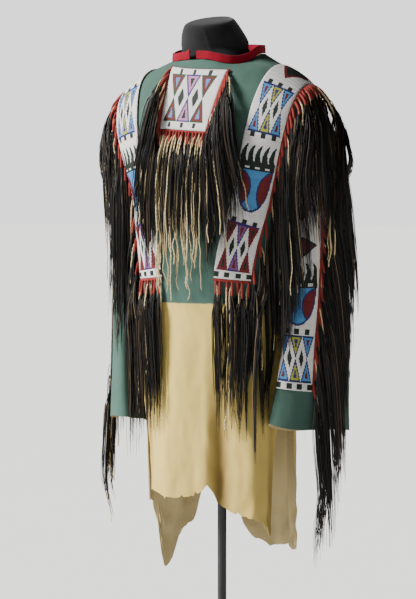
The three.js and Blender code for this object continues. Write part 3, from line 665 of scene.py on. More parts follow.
def grid_faces(rows, columns, round_tube):
    """Quads of a grid's outer side, its inner side and the edges between, as vertex numbers."""
    spans = columns if round_tube else columns - 1
    r, c = np.meshgrid(np.arange(rows - 1), np.arange(spans), indexing="ij")
    n = (c + 1) % columns
    a, b, d, e = r * columns + c, r * columns + n, (r + 1) * columns + c, (r + 1) * columns + n
    off = rows * columns
    quads = [np.stack([a, d, e, b], -1).reshape(-1, 4), np.stack([a, b, e, d], -1).reshape(-1, 4) + off]
    c = np.arange(spans)
    n = (c + 1) % columns
    low = (rows - 1) * columns
    quads.append(np.stack([c, n, n + off, c + off], -1))
    quads.append(np.stack([low + c, low + c + off, low + n + off, low + n], -1))
    if not round_tube:
        a = np.arange(rows - 1) * columns
        b = a + columns
        quads.append(np.stack([a, a + off, b + off, b], -1))
        a, b = a + columns - 1, b + columns - 1
        quads.append(np.stack([a, b, b + off, a + off], -1))
    return np.concatenate(quads)


def mesh_of(name, points, faces, smooth_angle=0.9):
    """A mesh in metres from points in millimetres, its faces turned outwards."""
    faces = np.asarray(faces)
    corner = points[faces]
    volume = np.sum(corner[:, 0] * np.cross(corner[:, 1], corner[:, 2]))
    if faces.shape[1] == 4:
        volume += np.sum(corner[:, 0] * np.cross(corner[:, 2], corner[:, 3]))
    if volume < 0:
        faces = faces[:, ::-1]
    mesh = bpy.data.meshes.new(name)
    mesh.from_pydata((points * MM).tolist(), [], faces.tolist())
    mesh.polygons.foreach_set("use_smooth", [True] * len(mesh.polygons))
    mesh.set_sharp_from_angle(angle=smooth_angle)
    mesh.update()
    return mesh


def wall_mesh(name, outer, inner, round_tube=False):
    """A closed wall between two grids of points, marked inside and out."""
    rows, columns = outer.shape[:2]
    points = np.concatenate([outer.reshape(-1, 3), inner.reshape(-1, 3)])
    mesh = mesh_of(name, points, grid_faces(rows, columns, round_tube))
    inside = mesh.attributes.new("inside", "FLOAT", "POINT")
    inside.data.foreach_set("value", np.repeat([0.0, 1.0], rows * columns))
    return mesh


def panel_mesh(name, outer, back):
    """A closed panel with a fine face and a coarse back, whose rows match the face's rows."""
    rows, columns = outer.shape[:2]
    few = back.shape[1]
    points = np.concatenate([outer.reshape(-1, 3), back.reshape(-1, 3)])
    r, c = np.meshgrid(np.arange(rows - 1), np.arange(columns - 1), indexing="ij")
    a = (r * columns + c).reshape(-1)
    face = np.stack([a, a + columns, a + columns + 1, a + 1], -1)
    off = rows * columns
    r, c = np.meshgrid(np.arange(rows - 1), np.arange(few - 1), indexing="ij")
    b = (off + r * few + c).reshape(-1)
    rear = np.stack([b, b + 1, b + few + 1, b + few], -1)
    r = np.arange(rows - 1)
    left, right = r * columns, r * columns + columns - 1
    rear_left, rear_right = off + r * few, off + r * few + few - 1
    sides = np.concatenate([
        np.stack([left, rear_left, rear_left + few, left + columns], -1),
        np.stack([right, right + columns, rear_right + few, rear_right], -1),
    ])
    top = [*range(columns)] + [off + k for k in reversed(range(few))]
    low = (rows - 1) * columns
    rear_low = off + (rows - 1) * few
    end = [low + k for k in reversed(range(columns))] + [rear_low + k for k in range(few)]
    faces = face.tolist() + rear.tolist() + sides.tolist() + [top, end]
    corner = points[face]
    outwards = np.cross(corner[:, 1] - corner[:, 0], corner[:, 3] - corner[:, 0]).sum(0)
    if outwards @ (outer.mean((0, 1)) - back.mean((0, 1))) < 0:
        faces = [one[::-1] for one in faces]
    mesh = bpy.data.meshes.new(name)
    mesh.from_pydata((points * MM).tolist(), [], faces)
    mesh.polygons.foreach_set("use_smooth", [True] * len(mesh.polygons))
    mesh.set_sharp_from_angle(angle=0.9)
    inside = mesh.attributes.new("inside", "FLOAT", "POINT")
    inside.data.foreach_set("value", np.repeat([0.0, 1.0], [off, rows * few]))
    mesh.update()
    return mesh


def mirrored(points):
    return points * np.array([-1.0, 1.0, 1.0])


def waves(points, scale, stretch, seed):
    """Smooth noise over points in millimetres, longer along Z by a factor."""
    flat = points.reshape(-1, 3)
    shift = Vector((seed * 7.3, seed * 3.1, seed * 5.7))
    values = [
        noise.noise(Vector((x / scale, y / scale, z / scale / stretch)) + shift) for x, y, z in flat.tolist()
    ]
    return np.array(values).reshape(points.shape[:-1])


# ---------------------------------------------------------------------------------------------
# The hides, sleeves, collar and form


def edge_angle(ring, degrees, edge):
    z = body_point(degrees, ring, False)[..., 2]
    return np.interp(z, SIDE_EDGES["z"], SIDE_EDGES[edge])


def hide_span(front, ring, share):
    square = (-90, 90) if front else (90, 270)
    edges = ("front_right", "front_left") if front else ("back_left", "back_right")
    gap = np.degrees(SEAM / 2 / rounded(BODY["front"], ring))
    cut = armhole_cut(ring) + gap
    inside = ring < ARMHOLE["bottom"]
    start = np.where(inside, square[0], edge_angle(ring, square[0], edges[0])) + cut
    end = np.where(inside, square[1], edge_angle(ring, square[1], edges[1])) - cut
    return start + (end - start) * share


def hem_height(front, degrees, seed):
    """The uneven hem, with the small nicks that a knife leaves in thin hide."""
    hem = FRONT_HEM if front else BACK_HEM
    level = np.interp(degrees, *hem)
    nicks = np.array([
        noise.noise(Vector((d / 2.2, seed, 0.0))) * 2.6 + noise.noise(Vector((d / 0.8, seed, 4.0))) * 1.5
        for d in np.atleast_1d(degrees).tolist()
    ])
    torn = np.zeros(len(nicks))
    if front:
        for at, width, depth in TEARS:
            torn += depth * np.maximum(0, 1 - np.abs(degrees - at) / width)
    return level + nicks + torn


TEARS = ((4.0, 1.1, 12.0), (-6.5, 0.9, 7.0), (-20.0, 1.2, -6.0), (36.0, 1.0, 6.0), (58.0, 0.8, -7.0))


def hide_places(front, columns, upper_rows, skirt_rows):
    """Degrees and rings of a hide's grid, from the neck edge down to the hem."""
    share = np.linspace(0, 1, columns)
    upper = np.linspace(0, 12, upper_rows)[:, None]
    hem_angle = hide_span(front, np.full(columns, 14.5), share)
    hem_ring = ring_at_height(hem_angle, hem_height(front, hem_angle, 1.0 if front else 2.0))
    down = (np.arange(skirt_rows) + 1)[:, None] / skirt_rows
    skirt = 12 + (hem_ring - 12) * down
    ring = np.concatenate([np.broadcast_to(upper, (upper_rows, columns)), skirt])
    return hide_span(front, ring, np.broadcast_to(share, ring.shape)), ring


def hide_wrinkles(points, seed):
    """How far the hide stands in or out of its even surface: drapes below, dimples above."""
    z = points[..., 2]
    hang = smooth_step((1010 - z) / 420)
    drape = waves(points, 46, 7, seed) * 5.5 * hang
    pucker = waves(points, 17, 2.2, seed + 3) * (0.35 + 1.2 * hang)
    curl = 6.0 * smooth_step((520 - z) / 90) * waves(points, 30, 1.0, seed + 5)
    upper = np.minimum(waves(points, 60, 2.0, seed + 7) * 1.2, 0.5) * (1 - hang)
    return drape + pucker + curl + upper


def cut_of(outer, closed=False):
    """A grid's greatest width and length and its area, in metres."""
    if closed:
        outer = np.concatenate([outer, outer[:, :1]], axis=1)
    across, down = np.diff(outer, axis=1), np.diff(outer, axis=0)
    area = np.linalg.norm(np.cross(across[:-1], down[:, :-1]), axis=2).sum() * MM * MM
    width = np.linalg.norm(across, axis=2).sum(1).max() * MM
    length = np.linalg.norm(down, axis=2).sum(0).max() * MM
    return width, length, area


def make_hide(name, node, front, columns, seed):
    degrees, ring = hide_places(front, columns, 84, 72)
    extra = hide_wrinkles(on_body(degrees, ring, 0), seed)
    outer = on_body(degrees, ring, WALL / 2 + extra)
    inner = on_body(degrees, ring, -WALL / 2 + extra)
    mesh = wall_mesh(name, outer, inner)
    # painted shade: how deep each point lies in a fold valley of the skirt, for the darker colour there
    low = outer[..., 2] < 1000
    valley = np.clip(-fold_depth(degrees, outer[..., 2]) / 17, 0, 1) * low
    mesh.attributes.new("valley", "FLOAT", "POINT").data.foreach_set("value", np.tile(valley.ravel(), 2))
    piece = new_piece(name, mesh, "hide", finish("painted_hide"))
    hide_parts(node)
    return piece, cut_of(outer)


def make_sleeve(name, node, mirror, seed):
    turns = np.linspace(0, 2 * np.pi, 64, endpoint=False)[None, :]
    stations = np.linspace(0, CUFF, 96)[:, None]
    turn, station = np.broadcast_arrays(turns, stations)
    centre = on_sleeve(turn, station, 0)
    low = smooth_step((station - 1.0) / 3.0)
    extra = np.minimum(waves(centre, 44, 3.0, seed) * 2.6, 0.4) * low + waves(centre, 15, 2.0, seed + 2) * 0.4
    cuff = 1 + 0.0025 * np.sin(3 * turn + seed) * (station / CUFF) ** 6
    outer = on_sleeve(turn, station * cuff, WALL / 2 + extra)
    inner = on_sleeve(turn, station * cuff, -WALL / 2 + extra)
    if mirror:
        outer, inner = mirrored(outer), mirrored(inner)
    piece = new_piece(name, wall_mesh(name, outer, inner, True), "green_hide", finish("painted_sleeve"))
    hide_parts(node)
    return piece, cut_of(outer, True)


def make_collar():
    """The folded band of red wool, round at its edges, and the size it was cut to."""
    turns = np.linspace(COLLAR_SLIT[1], COLLAR_SLIT[0] + 360, 150)
    edge = on_body(turns, np.zeros(turns.shape), 0)
    outwards = edge - np.array([0, GARMENT_Y, 0])
    outwards[:, 2] = 0
    outwards = unit(outwards)
    around = np.linspace(0, 2 * np.pi, 20, endpoint=False)
    half_wall, half_high = 1.6, COLLAR_HEIGHT / 2
    tip = smooth_step((turns - (COLLAR_SLIT[0] + 352)) / 8)
    wave = np.array([noise.noise(Vector((t / 9.0, 2.0, 0.0))) for t in turns.tolist()])
    rings = []
    for a in around:
        power = 0.35
        side = np.sign(np.cos(a)) * abs(np.cos(a)) ** power * half_wall
        high = np.sign(np.sin(a)) * abs(np.sin(a)) ** 0.8 * half_high
        up = 2.0 + half_high + high + tip * 4.0 * (high > 0)
        spread = side - 0.08 * up + wave * 0.7 + tip * 1.5 * (high > 0)
        rings.append(edge + outwards * spread[:, None] + np.stack([0 * up, 0 * up, up + wave * 0.6], -1))
    points = np.array(rings).transpose(1, 0, 2)
    middle = points.mean(axis=1)
    loop = np.linalg.norm(np.diff(middle, axis=0), axis=1).sum()
    return lofted("collar_band", points), (loop * MM, (COLLAR_HEIGHT + 2 * half_wall) * MM)


def lofted(name, rings, smooth_angle=0.9):
    """A closed mesh through rings of points, its ends shut by fans."""
    count, columns = rings.shape[:2]
    points = np.concatenate([rings.reshape(-1, 3), [rings[0].mean(0), rings[-1].mean(0)]])
    r, c = np.meshgrid(np.arange(count - 1), np.arange(columns), indexing="ij")
    n = (c + 1) % columns
    a, b = r * columns + c, r * columns + n
    sides = np.concatenate([
        np.stack([a, b, b + columns], -1).reshape(-1, 3),
        np.stack([a, b + columns, a + columns], -1).reshape(-1, 3),
    ])
    c = np.arange(columns)
    n = (c + 1) % columns
    first, last, low = count * columns, count * columns + 1, (count - 1) * columns
    ends = np.concatenate([
        np.stack([c * 0 + first, n, c], -1), np.stack([c * 0 + last, low + c, low + n], -1)
    ])
    return mesh_of(name, points, np.concatenate([sides, ends]), smooth_angle)


def form_mesh():
    """The limbless form: its neck block and its shoulders, closed below."""
    columns = 96
    turn = np.linspace(0, 2 * np.pi, columns, endpoint=False)
    neck = np.array([
        np.stack([side * np.sin(turn), y - deep * np.cos(turn), z - rise * np.cos(turn)], -1)
        for y, side, deep, z, rise in zip(NECK["y"], NECK["side"], NECK["deep"], NECK["z"], NECK["rise"])
    ])
    body = np.array([
        on_body(np.degrees(turn), np.full(columns, ring), -inset, False) for ring, inset in FORM
    ])
    main = np.concatenate([neck, body[:-1]])
    steps = np.linspace(0, len(main) - 1, 4 * (len(main) - 1) + 1)
    rings = rounded(main, steps)
    pull = np.exp(-(((np.degrees(turn) + 180) % 360 - 180 - 16) / 1.8) ** 2) * 1.5
    pull = pull + np.exp(-(((np.degrees(turn) + 180) % 360 - 180 - 74) / 2.0) ** 2) * 1.5
    share = smooth_step((steps - 0.8) / 0.8)[:, None] * smooth_step((4.4 - steps) / 0.8)[:, None]
    centre = rings.mean(1, keepdims=True)
    rings = rings + unit(rings - centre) * (share * pull)[..., None]
    level = body[-1].copy()
    level[:, 2] = body[-1][0, 2]
    rim = level + (rings[-1] - level) * 0.12
    rim[:, 2] = level[:, 2] + (rings[-1][:, 2] - level[:, 2]) * 0.3
    top = rings[0]
    middle = top.mean(0)
    lid = np.array([
        middle + (top - middle) * s + np.array([0, 0, 1.6 * (1 - s**2)]) for s in (0.15, 0.5, 0.82)
    ])
    floor = np.array([level.mean(0) + (level - level.mean(0)) * s for s in (0.98, 0.5, 0.08)])
    return lofted("form_body", np.concatenate([lid, rings, [rim], [level], floor]), 1.2)


# ---------------------------------------------------------------------------------------------
# Beadwork

BEADS = {
    "white": (0.60, 0.59, 0.57), "sky": (0.050, 0.20, 0.42), "navy": (0.006, 0.010, 0.085),
    "dark_red": (0.11, 0.003, 0.006), "green": (0.004, 0.045, 0.013), "deep_green": (0.002, 0.009, 0.006),
    "lime": (0.28, 0.29, 0.022), "purple": (0.022, 0.008, 0.12), "pink": (0.38, 0.17, 0.30),
    "mauve": (0.15, 0.055, 0.16),
}


BACK_SPANS = 6


class Beadwork:
    """The colours of a panel's beads, worked motif by motif over the ground, in millimetres."""

    def __init__(self, x, y):
        self.x = x
        self.y = y
        self.colour = np.empty(x.shape + (3,))
        self.colour[:] = BEADS["white"]

    def work(self, mask, bead):
        self.colour[mask] = BEADS[bead]

    def hourglasses(self, left, right, top, bottom, columns, lozenge="deep_green", line=0.19):
        """Two triangles tip to tip in each column, with their outline and core, lozenges between."""
        width = (right - left) / len(columns)
        along = np.abs(self.y - (top + bottom) / 2) / ((bottom - top) / 2)
        rim = 3.4 / ((bottom - top) / 2)
        for k, (edge, body, core) in enumerate(columns):
            across = np.abs(self.x - left - (k + 0.5) * width) / (width / 2)
            self.work((across < along * 0.98 + 0.03) & (along < 1), edge)
            self.work((across < along - line) & (along < 1 - rim), body)
            self.work((across < (along - 0.42) * 0.72) & (along < 0.84), core)
        for k in range(1, len(columns)):
            across = np.abs(self.x - left - k * width) / (width * 0.22)
            self.work(across + along / 0.43 < 1, lozenge)

    def bars(self, middles, half, top, bottom, bead="deep_green"):
        for middle in middles:
            self.work((np.abs(self.x - middle) < half) & (self.y > top) & (self.y < bottom), bead)

    def frame_lines(self, left, right, top, bottom, bead, width=2.2):
        within = (self.x > left) & (self.x < right)
        for level in (top, bottom):
            self.work(within & (np.abs(self.y - level) < width / 2), bead)

    def diamond(self, x, y, half, height, bead, edge):
        reach = np.abs(self.x - x) / half + np.abs(self.y - y) / height
        self.work(reach < 1, edge)
        self.work(reach < 0.78, bead)

    def claws(self, left, right, tips, base, lean, count=5):
        """A paw's claws: curved points that rise from a band."""
        pitch = (right - left) / count
        rise = np.clip((base - self.y) / (base - tips), 0, 1)
        for k in range(count):
            foot = left + (k + 0.5) * pitch
            middle = foot + lean * pitch * (0.5 * np.sin(rise * 1.9) - 0.75 * rise**2)
            thick = pitch * 0.46 * (1 - rise) ** 0.5
            self.work((np.abs(self.x - middle) < thick) & (self.y <= base) & (self.y > tips), "deep_green")

    def pad(self, half, top, bottom):
        """A paw's pad: a waisted light middle between two dark lobes in a rounded outline."""
        share = np.clip((self.y - top) / (bottom - top), 0, 1)
        outline = half * np.sqrt(np.maximum(0, 1 - share**2.6))
        band = (self.y > top) & (self.y < bottom)
        self.work(band & (np.abs(self.x) < outline), "navy")
        inner = half * np.sqrt(np.maximum(0, 1 - (share * 1.05) ** 2.6)) - 2.0
        self.work(band & (np.abs(self.x) < inner), "sky")
        lobe = ((np.abs(self.x) - half * 1.04) / (half * 0.80)) ** 2
        lobe = lobe + ((share - 0.46) / 0.44) ** 2
        self.work(band & (np.abs(self.x) < inner) & (lobe < 1.16), "navy")
        self.work(band & (np.abs(self.x) < inner) & (lobe < 0.94), "dark_red")

    def end_row(self, top, bottom, half, count=7):
        cell = np.floor((self.x + half) / (2 * half / count)).astype(int)
        band = (self.y > top) & (self.y < bottom)
        self.work(band & (cell % 2 == 0), "deep_green")


WARM = (("navy", "sky", "dark_red"), ("navy", "lime", "purple"), ("navy", "sky", "dark_red"))
COOL = (
    ("dark_red", "dark_red", "deep_green"), ("purple", "mauve", "dark_red"),
    ("dark_red", "dark_red", "deep_green"),
)


def work_shoulder(x, y, length):
    """From the crest (0) down to one end (its length)."""
    work = Beadwork(x, np.abs(y))
    work.diamond(0, 0, 31, 54, "deep_green", "dark_red")
    work.bars((-21, 0, 21), 4.2, 69, 80)
    work.hourglasses(-33, 33, 80, 184, WARM)
    work.frame_lines(-33, 33, 80, 184, "navy")
    work.bars((-21, 0, 21), 4.2, 185, 195)
    work.claws(-35, 35, 209, 248, -0.9)
    work.work((np.abs(x) < 35) & (work.y > 244) & (work.y < 261), "deep_green")
    work.bars((-20, 0, 20), 4.6, 254, 258, "white")
    work.pad(33, 261, 347)
    work.bars((-21, 0, 21), 4.2, 361, 373)
    work.hourglasses(-33, 33, 373, 470, COOL)
    work.frame_lines(-33, 33, 373, 470, "purple")
    work.end_row(length - 14, length - 3, 38)
    return work.colour


def work_sleeve(x, y, length):
    work = Beadwork(x, y)
    work.bars((-18, 0, 18), 4.2, 24, 35)
    work.hourglasses(-32, 32, 42, 128, WARM)
    work.frame_lines(-32, 32, 42, 128, "navy")
    work.bars((-18, 0, 18), 4.2, 133, 144)
    work.diamond(0, 190, 20, 24, "deep_green", "dark_red")
    work.diamond(0, 268, 29, 23, "dark_red", "deep_green")
    work.claws(-32, 32, 300, 337, -1)
    work.work((np.abs(x) < 33) & (y > 334) & (y < 350), "deep_green")
    work.bars((-19, 0, 19), 4.6, 340, 346, "white")
    work.pad(31, 350, 425)
    work.bars((-20, 0, 20), 4.4, 431, 442)
    work.hourglasses(-33, 33, 446, 538, WARM)
    work.frame_lines(-33, 33, 446, 538, "navy")
    work.end_row(length - 13, length - 3, 36)
    return work.colour


def work_flap(x, y, length):
    work = Beadwork(x, y)
    columns = (("green", "dark_red", "sky"), ("purple", "pink", "deep_green"), ("green", "dark_red", "sky"))
    work.bars((-33, -3, 31), 3.4, 3, 15)
    work.hourglasses(-54, 48, 14, 116, columns)
    work.bars((-36, -4, 28), 3.4, 117, 128)
    work.work(y < 2.6, "dark_red")
    return work.colour


def bead_panel(name, point, columns, rows, half, length, worker, lane, mirror=False, start=0.0):
    """A stiff panel of beadwork: one quad a bead, its lanes raised, its back plain hide."""
    across = np.linspace(0, 1, columns + 1)[None, :]
    down = np.linspace(0, 1, rows + 1)[:, None]
    across, down = np.broadcast_arrays(across, down)
    groove = np.abs(np.cos(np.pi * down * length / lane)) ** 10 * 0.55
    rim = np.minimum(across, 1 - across) * 2 * half / 2.6
    rim_down = np.minimum(down, 1 - down) * length / 2.6
    edge = 0.9 * (1 - np.clip(np.minimum(rim, rim_down), 0, 1)) ** 2
    uneven = waves(np.stack([across * 400, down * 900, down * 0], -1), 14, 1, 3.0) * 0.16
    outer = point(across, down, STRIP_CLEAR + BEADWORK - groove - edge + uneven)
    few = np.linspace(0, columns, BACK_SPANS + 1).astype(int)
    inner = point(across[:, few], down[:, few], STRIP_CLEAR + 0.02)
    if mirror:
        outer, inner = mirrored(outer), mirrored(inner)
    mesh = panel_mesh(name, outer, inner)
    middle = outer[:, columns // 2]
    run = np.concatenate([[0], np.cumsum(np.linalg.norm(np.diff(middle, axis=0), axis=1))])
    rows_at = (run[:-1] + run[1:]) / 2
    columns_at = (np.arange(columns) + 0.5) / columns * 2 * half - half
    first = np.interp(start, np.linspace(0, 1, rows + 1), run)
    x, y = np.meshgrid(columns_at, rows_at - first)
    colour = worker(x, y, np.where(y < 0, first, run[-1] - first))
    paint_cells(mesh, colour, rows, columns)
    return mesh, run[-1]


def paint_cells(mesh, colour, rows, columns):
    """Gives each bead's quad its colour and its place in the panel's UV map."""
    loops = len(mesh.loops)
    vertex = np.empty(loops, int)
    mesh.loops.foreach_get("vertex_index", vertex)
    layer = (rows + 1) * (columns + 1)
    place = np.minimum(vertex, layer - 1)
    uv = np.stack([place % (columns + 1), place // (columns + 1)], -1).astype(float)
    sheet = mesh.uv_layers.new(name="beads_uv")
    sheet.data.foreach_set("uv", uv.ravel())
    totals = np.empty(len(mesh.polygons), int)
    mesh.polygons.foreach_get("loop_total", totals)
    face = np.repeat(np.arange(len(totals)), totals)
    centre = np.stack([np.bincount(face, uv[:, k]) / totals for k in (0, 1)], -1)
    row = np.clip(centre[:, 1].astype(int), 0, rows - 1)
    column = np.clip(centre[:, 0].astype(int), 0, columns - 1)
    cell = colour[row, column][face]
    paint = mesh.attributes.new("beads", "FLOAT_COLOR", "CORNER")
    paint.data.foreach_set("color", np.concatenate([cell, np.ones((loops, 1))], -1).ravel())


def shoulder_panel(name, mirror):
    def point(across, down, distance):
        return shoulder_point((2 * across - 1) * SHOULDER["half"], 1 - 2 * down, distance)

    return bead_panel(name, point, 50, 640, SHOULDER["half"], 940, work_shoulder, 18.8, mirror, 0.5)


def sleeve_panel(name, side):
    def point(across, down, distance):
        return sleeve_strip_point(side, (2 * across - 1) * SLEEVE_STRIP["half"], down, distance)

    return bead_panel(
        name, point, 48, 370, SLEEVE_STRIP["half"], 560, work_sleeve, 18.4, side == "right"
    )


def flap_panel(name):
    def point(across, down, distance):
        return flap_point(2 * across - 1, down, distance)

    return bead_panel(name, point, 80, 86, 60, 131, work_flap, 18.7)


# ---------------------------------------------------------------------------------------------
# Locks of hair and thongs

# Each fringe: how many locks, how far they fall, how far the first and the last hang aside, how far
# they stay from the cloth, the least and greatest share of the fall that hair reaches, how many
# locks have a thong, how far the ends flare, and the share of the fall that thongs reach
LOCK_COLUMNS = ("count", "fall", "aside", "clear", "hair", "thongs", "flare", "reach")
LOCK_ROWS = {
    "flap_side": (13, 330, (38, 4), 19, (0.7, 1.0), 10, 0, (0.7, 1.0)),
    "flap_end": (14, 345, (0, 0), 19, (0.45, 0.72), 28, 0, (0.82, 1.1)),
    "shoulder_front": (22, 420, (22, 0), 16, (0.85, 1.1), 9, 8, (0.7, 1.0)),
    "shoulder_back": (20, 400, (22, 0), 18, (0.85, 1.12), 8, 12, (0.7, 1.0)),
    "shoulder_end": (7, 330, (0, 0), 11, (0.7, 1.05), 5, 0, (0.7, 1.0)),
    "sleeve": (22, 370, (88, 6), 9, (0.94, 1.18), 13, 6, (0.7, 1.05)),
    "right_sleeve": (22, 370, (60, 2), 9, (0.7, 0.98), 15, -10, (0.7, 1.0)),
}
LOCKS = {kind: dict(zip(LOCK_COLUMNS, row)) for kind, row in LOCK_ROWS.items()}
DROPS = (0, 0.06, 0.2, 0.45, 0.72, 1)
CLOSENESS = (0, 0.45, 0.85, 1, 1, 1)
CREST_HAIR, CREST_CLOSER, CREST_SHARE = 0.74, 1.25, 0.3
MIRRORED_FLARE, MIRRORED_REACH = -8, 0.3
HAIR, WRAP, THONG = 0.0, 1.0, 2.0


class Skin:
    """Samples of a surface that hanging locks keep clear of."""

    def __init__(self, at, above):
        self.at = at.reshape(-1, 3)
        self.out = (above - at).reshape(-1, 3)
        self.tree = KDTree(len(self.at))
        for i, point in enumerate(self.at.tolist()):
            self.tree.insert(point, i)
        self.tree.balance()

    def pushed(self, point, clear):
        _, i, apart = self.tree.find(point)
        if apart > 60:
            return point, None
        out = self.out[i]
        height = float((point - self.at[i]) @ out)
        return (point + out * (clear - height) if height < clear else point), out


def make_skins():
    turn, ring = np.meshgrid(np.linspace(0, 360, 120, endpoint=False), np.linspace(0, LAST_RING - 1, 110))
    keep = np.abs(np.abs(turn - 180) - 90) >= armhole_cut(ring)
    turn, ring = turn[keep], ring[keep]
    body = Skin(on_body(turn, ring, 0), on_body(turn, ring, 1))
    turn, station = np.meshgrid(np.linspace(0, 2 * np.pi, 48, endpoint=False), np.linspace(0, BELOW_CUFF, 70))
    return body, Skin(on_sleeve(turn, station, 0), on_sleeve(turn, station, 1))


def clear_of(skins, point, clear):
    out = np.array([0.0, -1.0, 0.0])
    for _ in range(8):
        for skin in skins:
            point, found = skin.pushed(point, clear)
            if found is not None:
                out = found
    return point, out


def lock_route(skins, root, aside, reach, fall, clear):
    """A lock's route from its root down, with the direction away from the cloth at each point."""
    points, outs = [root], []
    for i, drop in enumerate(DROPS):
        if i:
            free = root + aside * reach * (1 - (1 - drop) ** 2)
            free[2] = root[2] - fall * drop
            free, out = clear_of(skins, free, clear * CLOSENESS[i])
            points.append(free)
        else:
            _, out = clear_of(skins, root, 0)
        outs.append(out)
    return evened(np.array(points), unit(np.array(outs)))


class Strands:
    """Chains of points for the tree that turns them into hair, wrapped tops and thongs."""

    def __init__(self):
        self.points, self.edges, self.kind, self.tone, self.thick = [], [], [], [], []

    def add(self, points, kind, tone, thick):
        first = len(self.points)
        self.points.extend(points.tolist())
        self.edges.extend((first + i, first + i + 1) for i in range(len(points) - 1))
        self.kind.extend([kind] * len(points))
        self.tone.extend(np.broadcast_to(tone, len(points)).tolist())
        self.thick.extend(np.broadcast_to(thick, len(points)).tolist())

    def mesh(self, name):
        mesh = bpy.data.meshes.new(name)
        mesh.from_pydata([[c * MM for c in p] for p in self.points], self.edges, [])
        for key, values in (("kind", self.kind), ("tone", self.tone), ("thick", self.thick)):
            mesh.attributes.new(key, "FLOAT", "POINT").data.foreach_set("value", values)
        return mesh


def evened(points, outs, steps=40):
    """A route with points at even distances."""
    at = np.linspace(0, len(points) - 1, 90)
    points, outs = rounded(points, at), rounded(outs, at)
    run = np.concatenate([[0], np.cumsum(np.linalg.norm(np.diff(points, axis=0), axis=1))])
    even = np.linspace(0, run[-1], steps + 1)
    return (np.stack([np.interp(even, run, column[:, k]) for k in range(3)], -1) for column in (points, outs))


def along_route(points, share):
    return rounded(points, np.asarray(share) * (len(points) - 1))


def add_lock(strands, random, points, outs, locks, hairs, thong):
    """One lock: its wrapped top, its hair, and a thong or two beside it."""
    length = np.linalg.norm(np.diff(points, axis=0), axis=1).sum()
    wrapped = random.uniform(27, 34) / length
    wrap = (along_route(points, np.linspace(0.004, wrapped, 9))
            + along_route(outs, np.linspace(0, wrapped, 9)) * 1.2)
    strands.add(wrap, WRAP, random.uniform(0, 1), np.concatenate([[0.8], np.ones(7), [0.85]]))
    steps = np.linspace(0, 1, 10)
    flare = locks["flare"] * unit(locks["beyond"])
    lumps = random.normal(0, 1, (5, 2))
    sway = random.uniform(0, 6.28, 3)
    for k in range(hairs):
        reach = random.uniform(*locks["hair"]) * (1 - 0.35 * random.random() ** 4)
        share = wrapped * 0.8 + (reach - wrapped * 0.8) * steps
        path = along_route(points, np.minimum(share, 1))
        path[:, 2] -= np.maximum(share - 1, 0) * length
        out = unit(along_route(outs, np.minimum(share, 1)))
        side = unit(np.cross(out, np.array([0, 0, -1.0])))
        open_up = smooth_step(steps * 3.2 + 0.08) * (1 - 0.35 * steps)
        lump = lumps[k % 5]
        spread = locks.get("spread", 8.5)
        wide = (lump[0] * 0.75 + random.normal(0, 0.55)) * spread * open_up
        wide = wide + np.sin(steps * random.uniform(4, 9) + sway[0]) * 1.6 * steps
        deep = (abs(lump[1]) * 0.5 + abs(random.normal(0, 0.5))) * 6.0 * open_up
        deep = deep + np.sin(steps * random.uniform(3, 7) + sway[1]) * 0.8 * steps
        start = random.normal(0, 1.0, 2)
        wide, deep = wide + start[0], deep + start[1] * (1 - open_up)
        path = path + side * wide[:, None] + out * deep[:, None] + flare * (steps**2)[:, None]
        thick = random.uniform(0.75, 1.25) * (1 - 0.65 * steps**4)
        tone = random.random() ** 0.9
        strands.add(path, HAIR, min(tone, 0.995), thick)
    for _ in range(thong):
        reach = random.uniform(*locks["reach"])
        steps_long = np.linspace(0.01, reach, 34)
        path = along_route(points, np.minimum(steps_long, 1))
        path[:, 2] -= np.maximum(steps_long - 1, 0) * length
        out = unit(along_route(outs, np.minimum(steps_long, 1)))
        side = unit(np.cross(out, np.array([0, 0, -1.0])))
        start = random.uniform(2.5, 8.0) * random.choice([-1, 1])
        open_up = smooth_step(steps_long * 12)
        curl = 0.35 + smooth_step((steps_long - 0.55 * reach) / (0.45 * reach))
        kink = np.convolve(random.normal(0, 1.0, 36), (0.5, 1.0, 0.5), "valid") * 1.15 * curl
        wide = (start * (0.7 + 0.6 * steps_long) + kink
                + np.sin(steps_long * random.uniform(7, 13) + sway[2]) * 1.5)
        lift = random.uniform(-1.0, 6.0) * open_up + np.roll(kink, 5) * 0.5
        path = path + side * (wide * open_up)[:, None] + out * np.maximum(lift, -3.0)[:, None]
        strands.add(
            path, THONG, random.uniform(0.2, 1.0), random.uniform(0.75, 1.15) * (1 - 0.35 * steps_long))


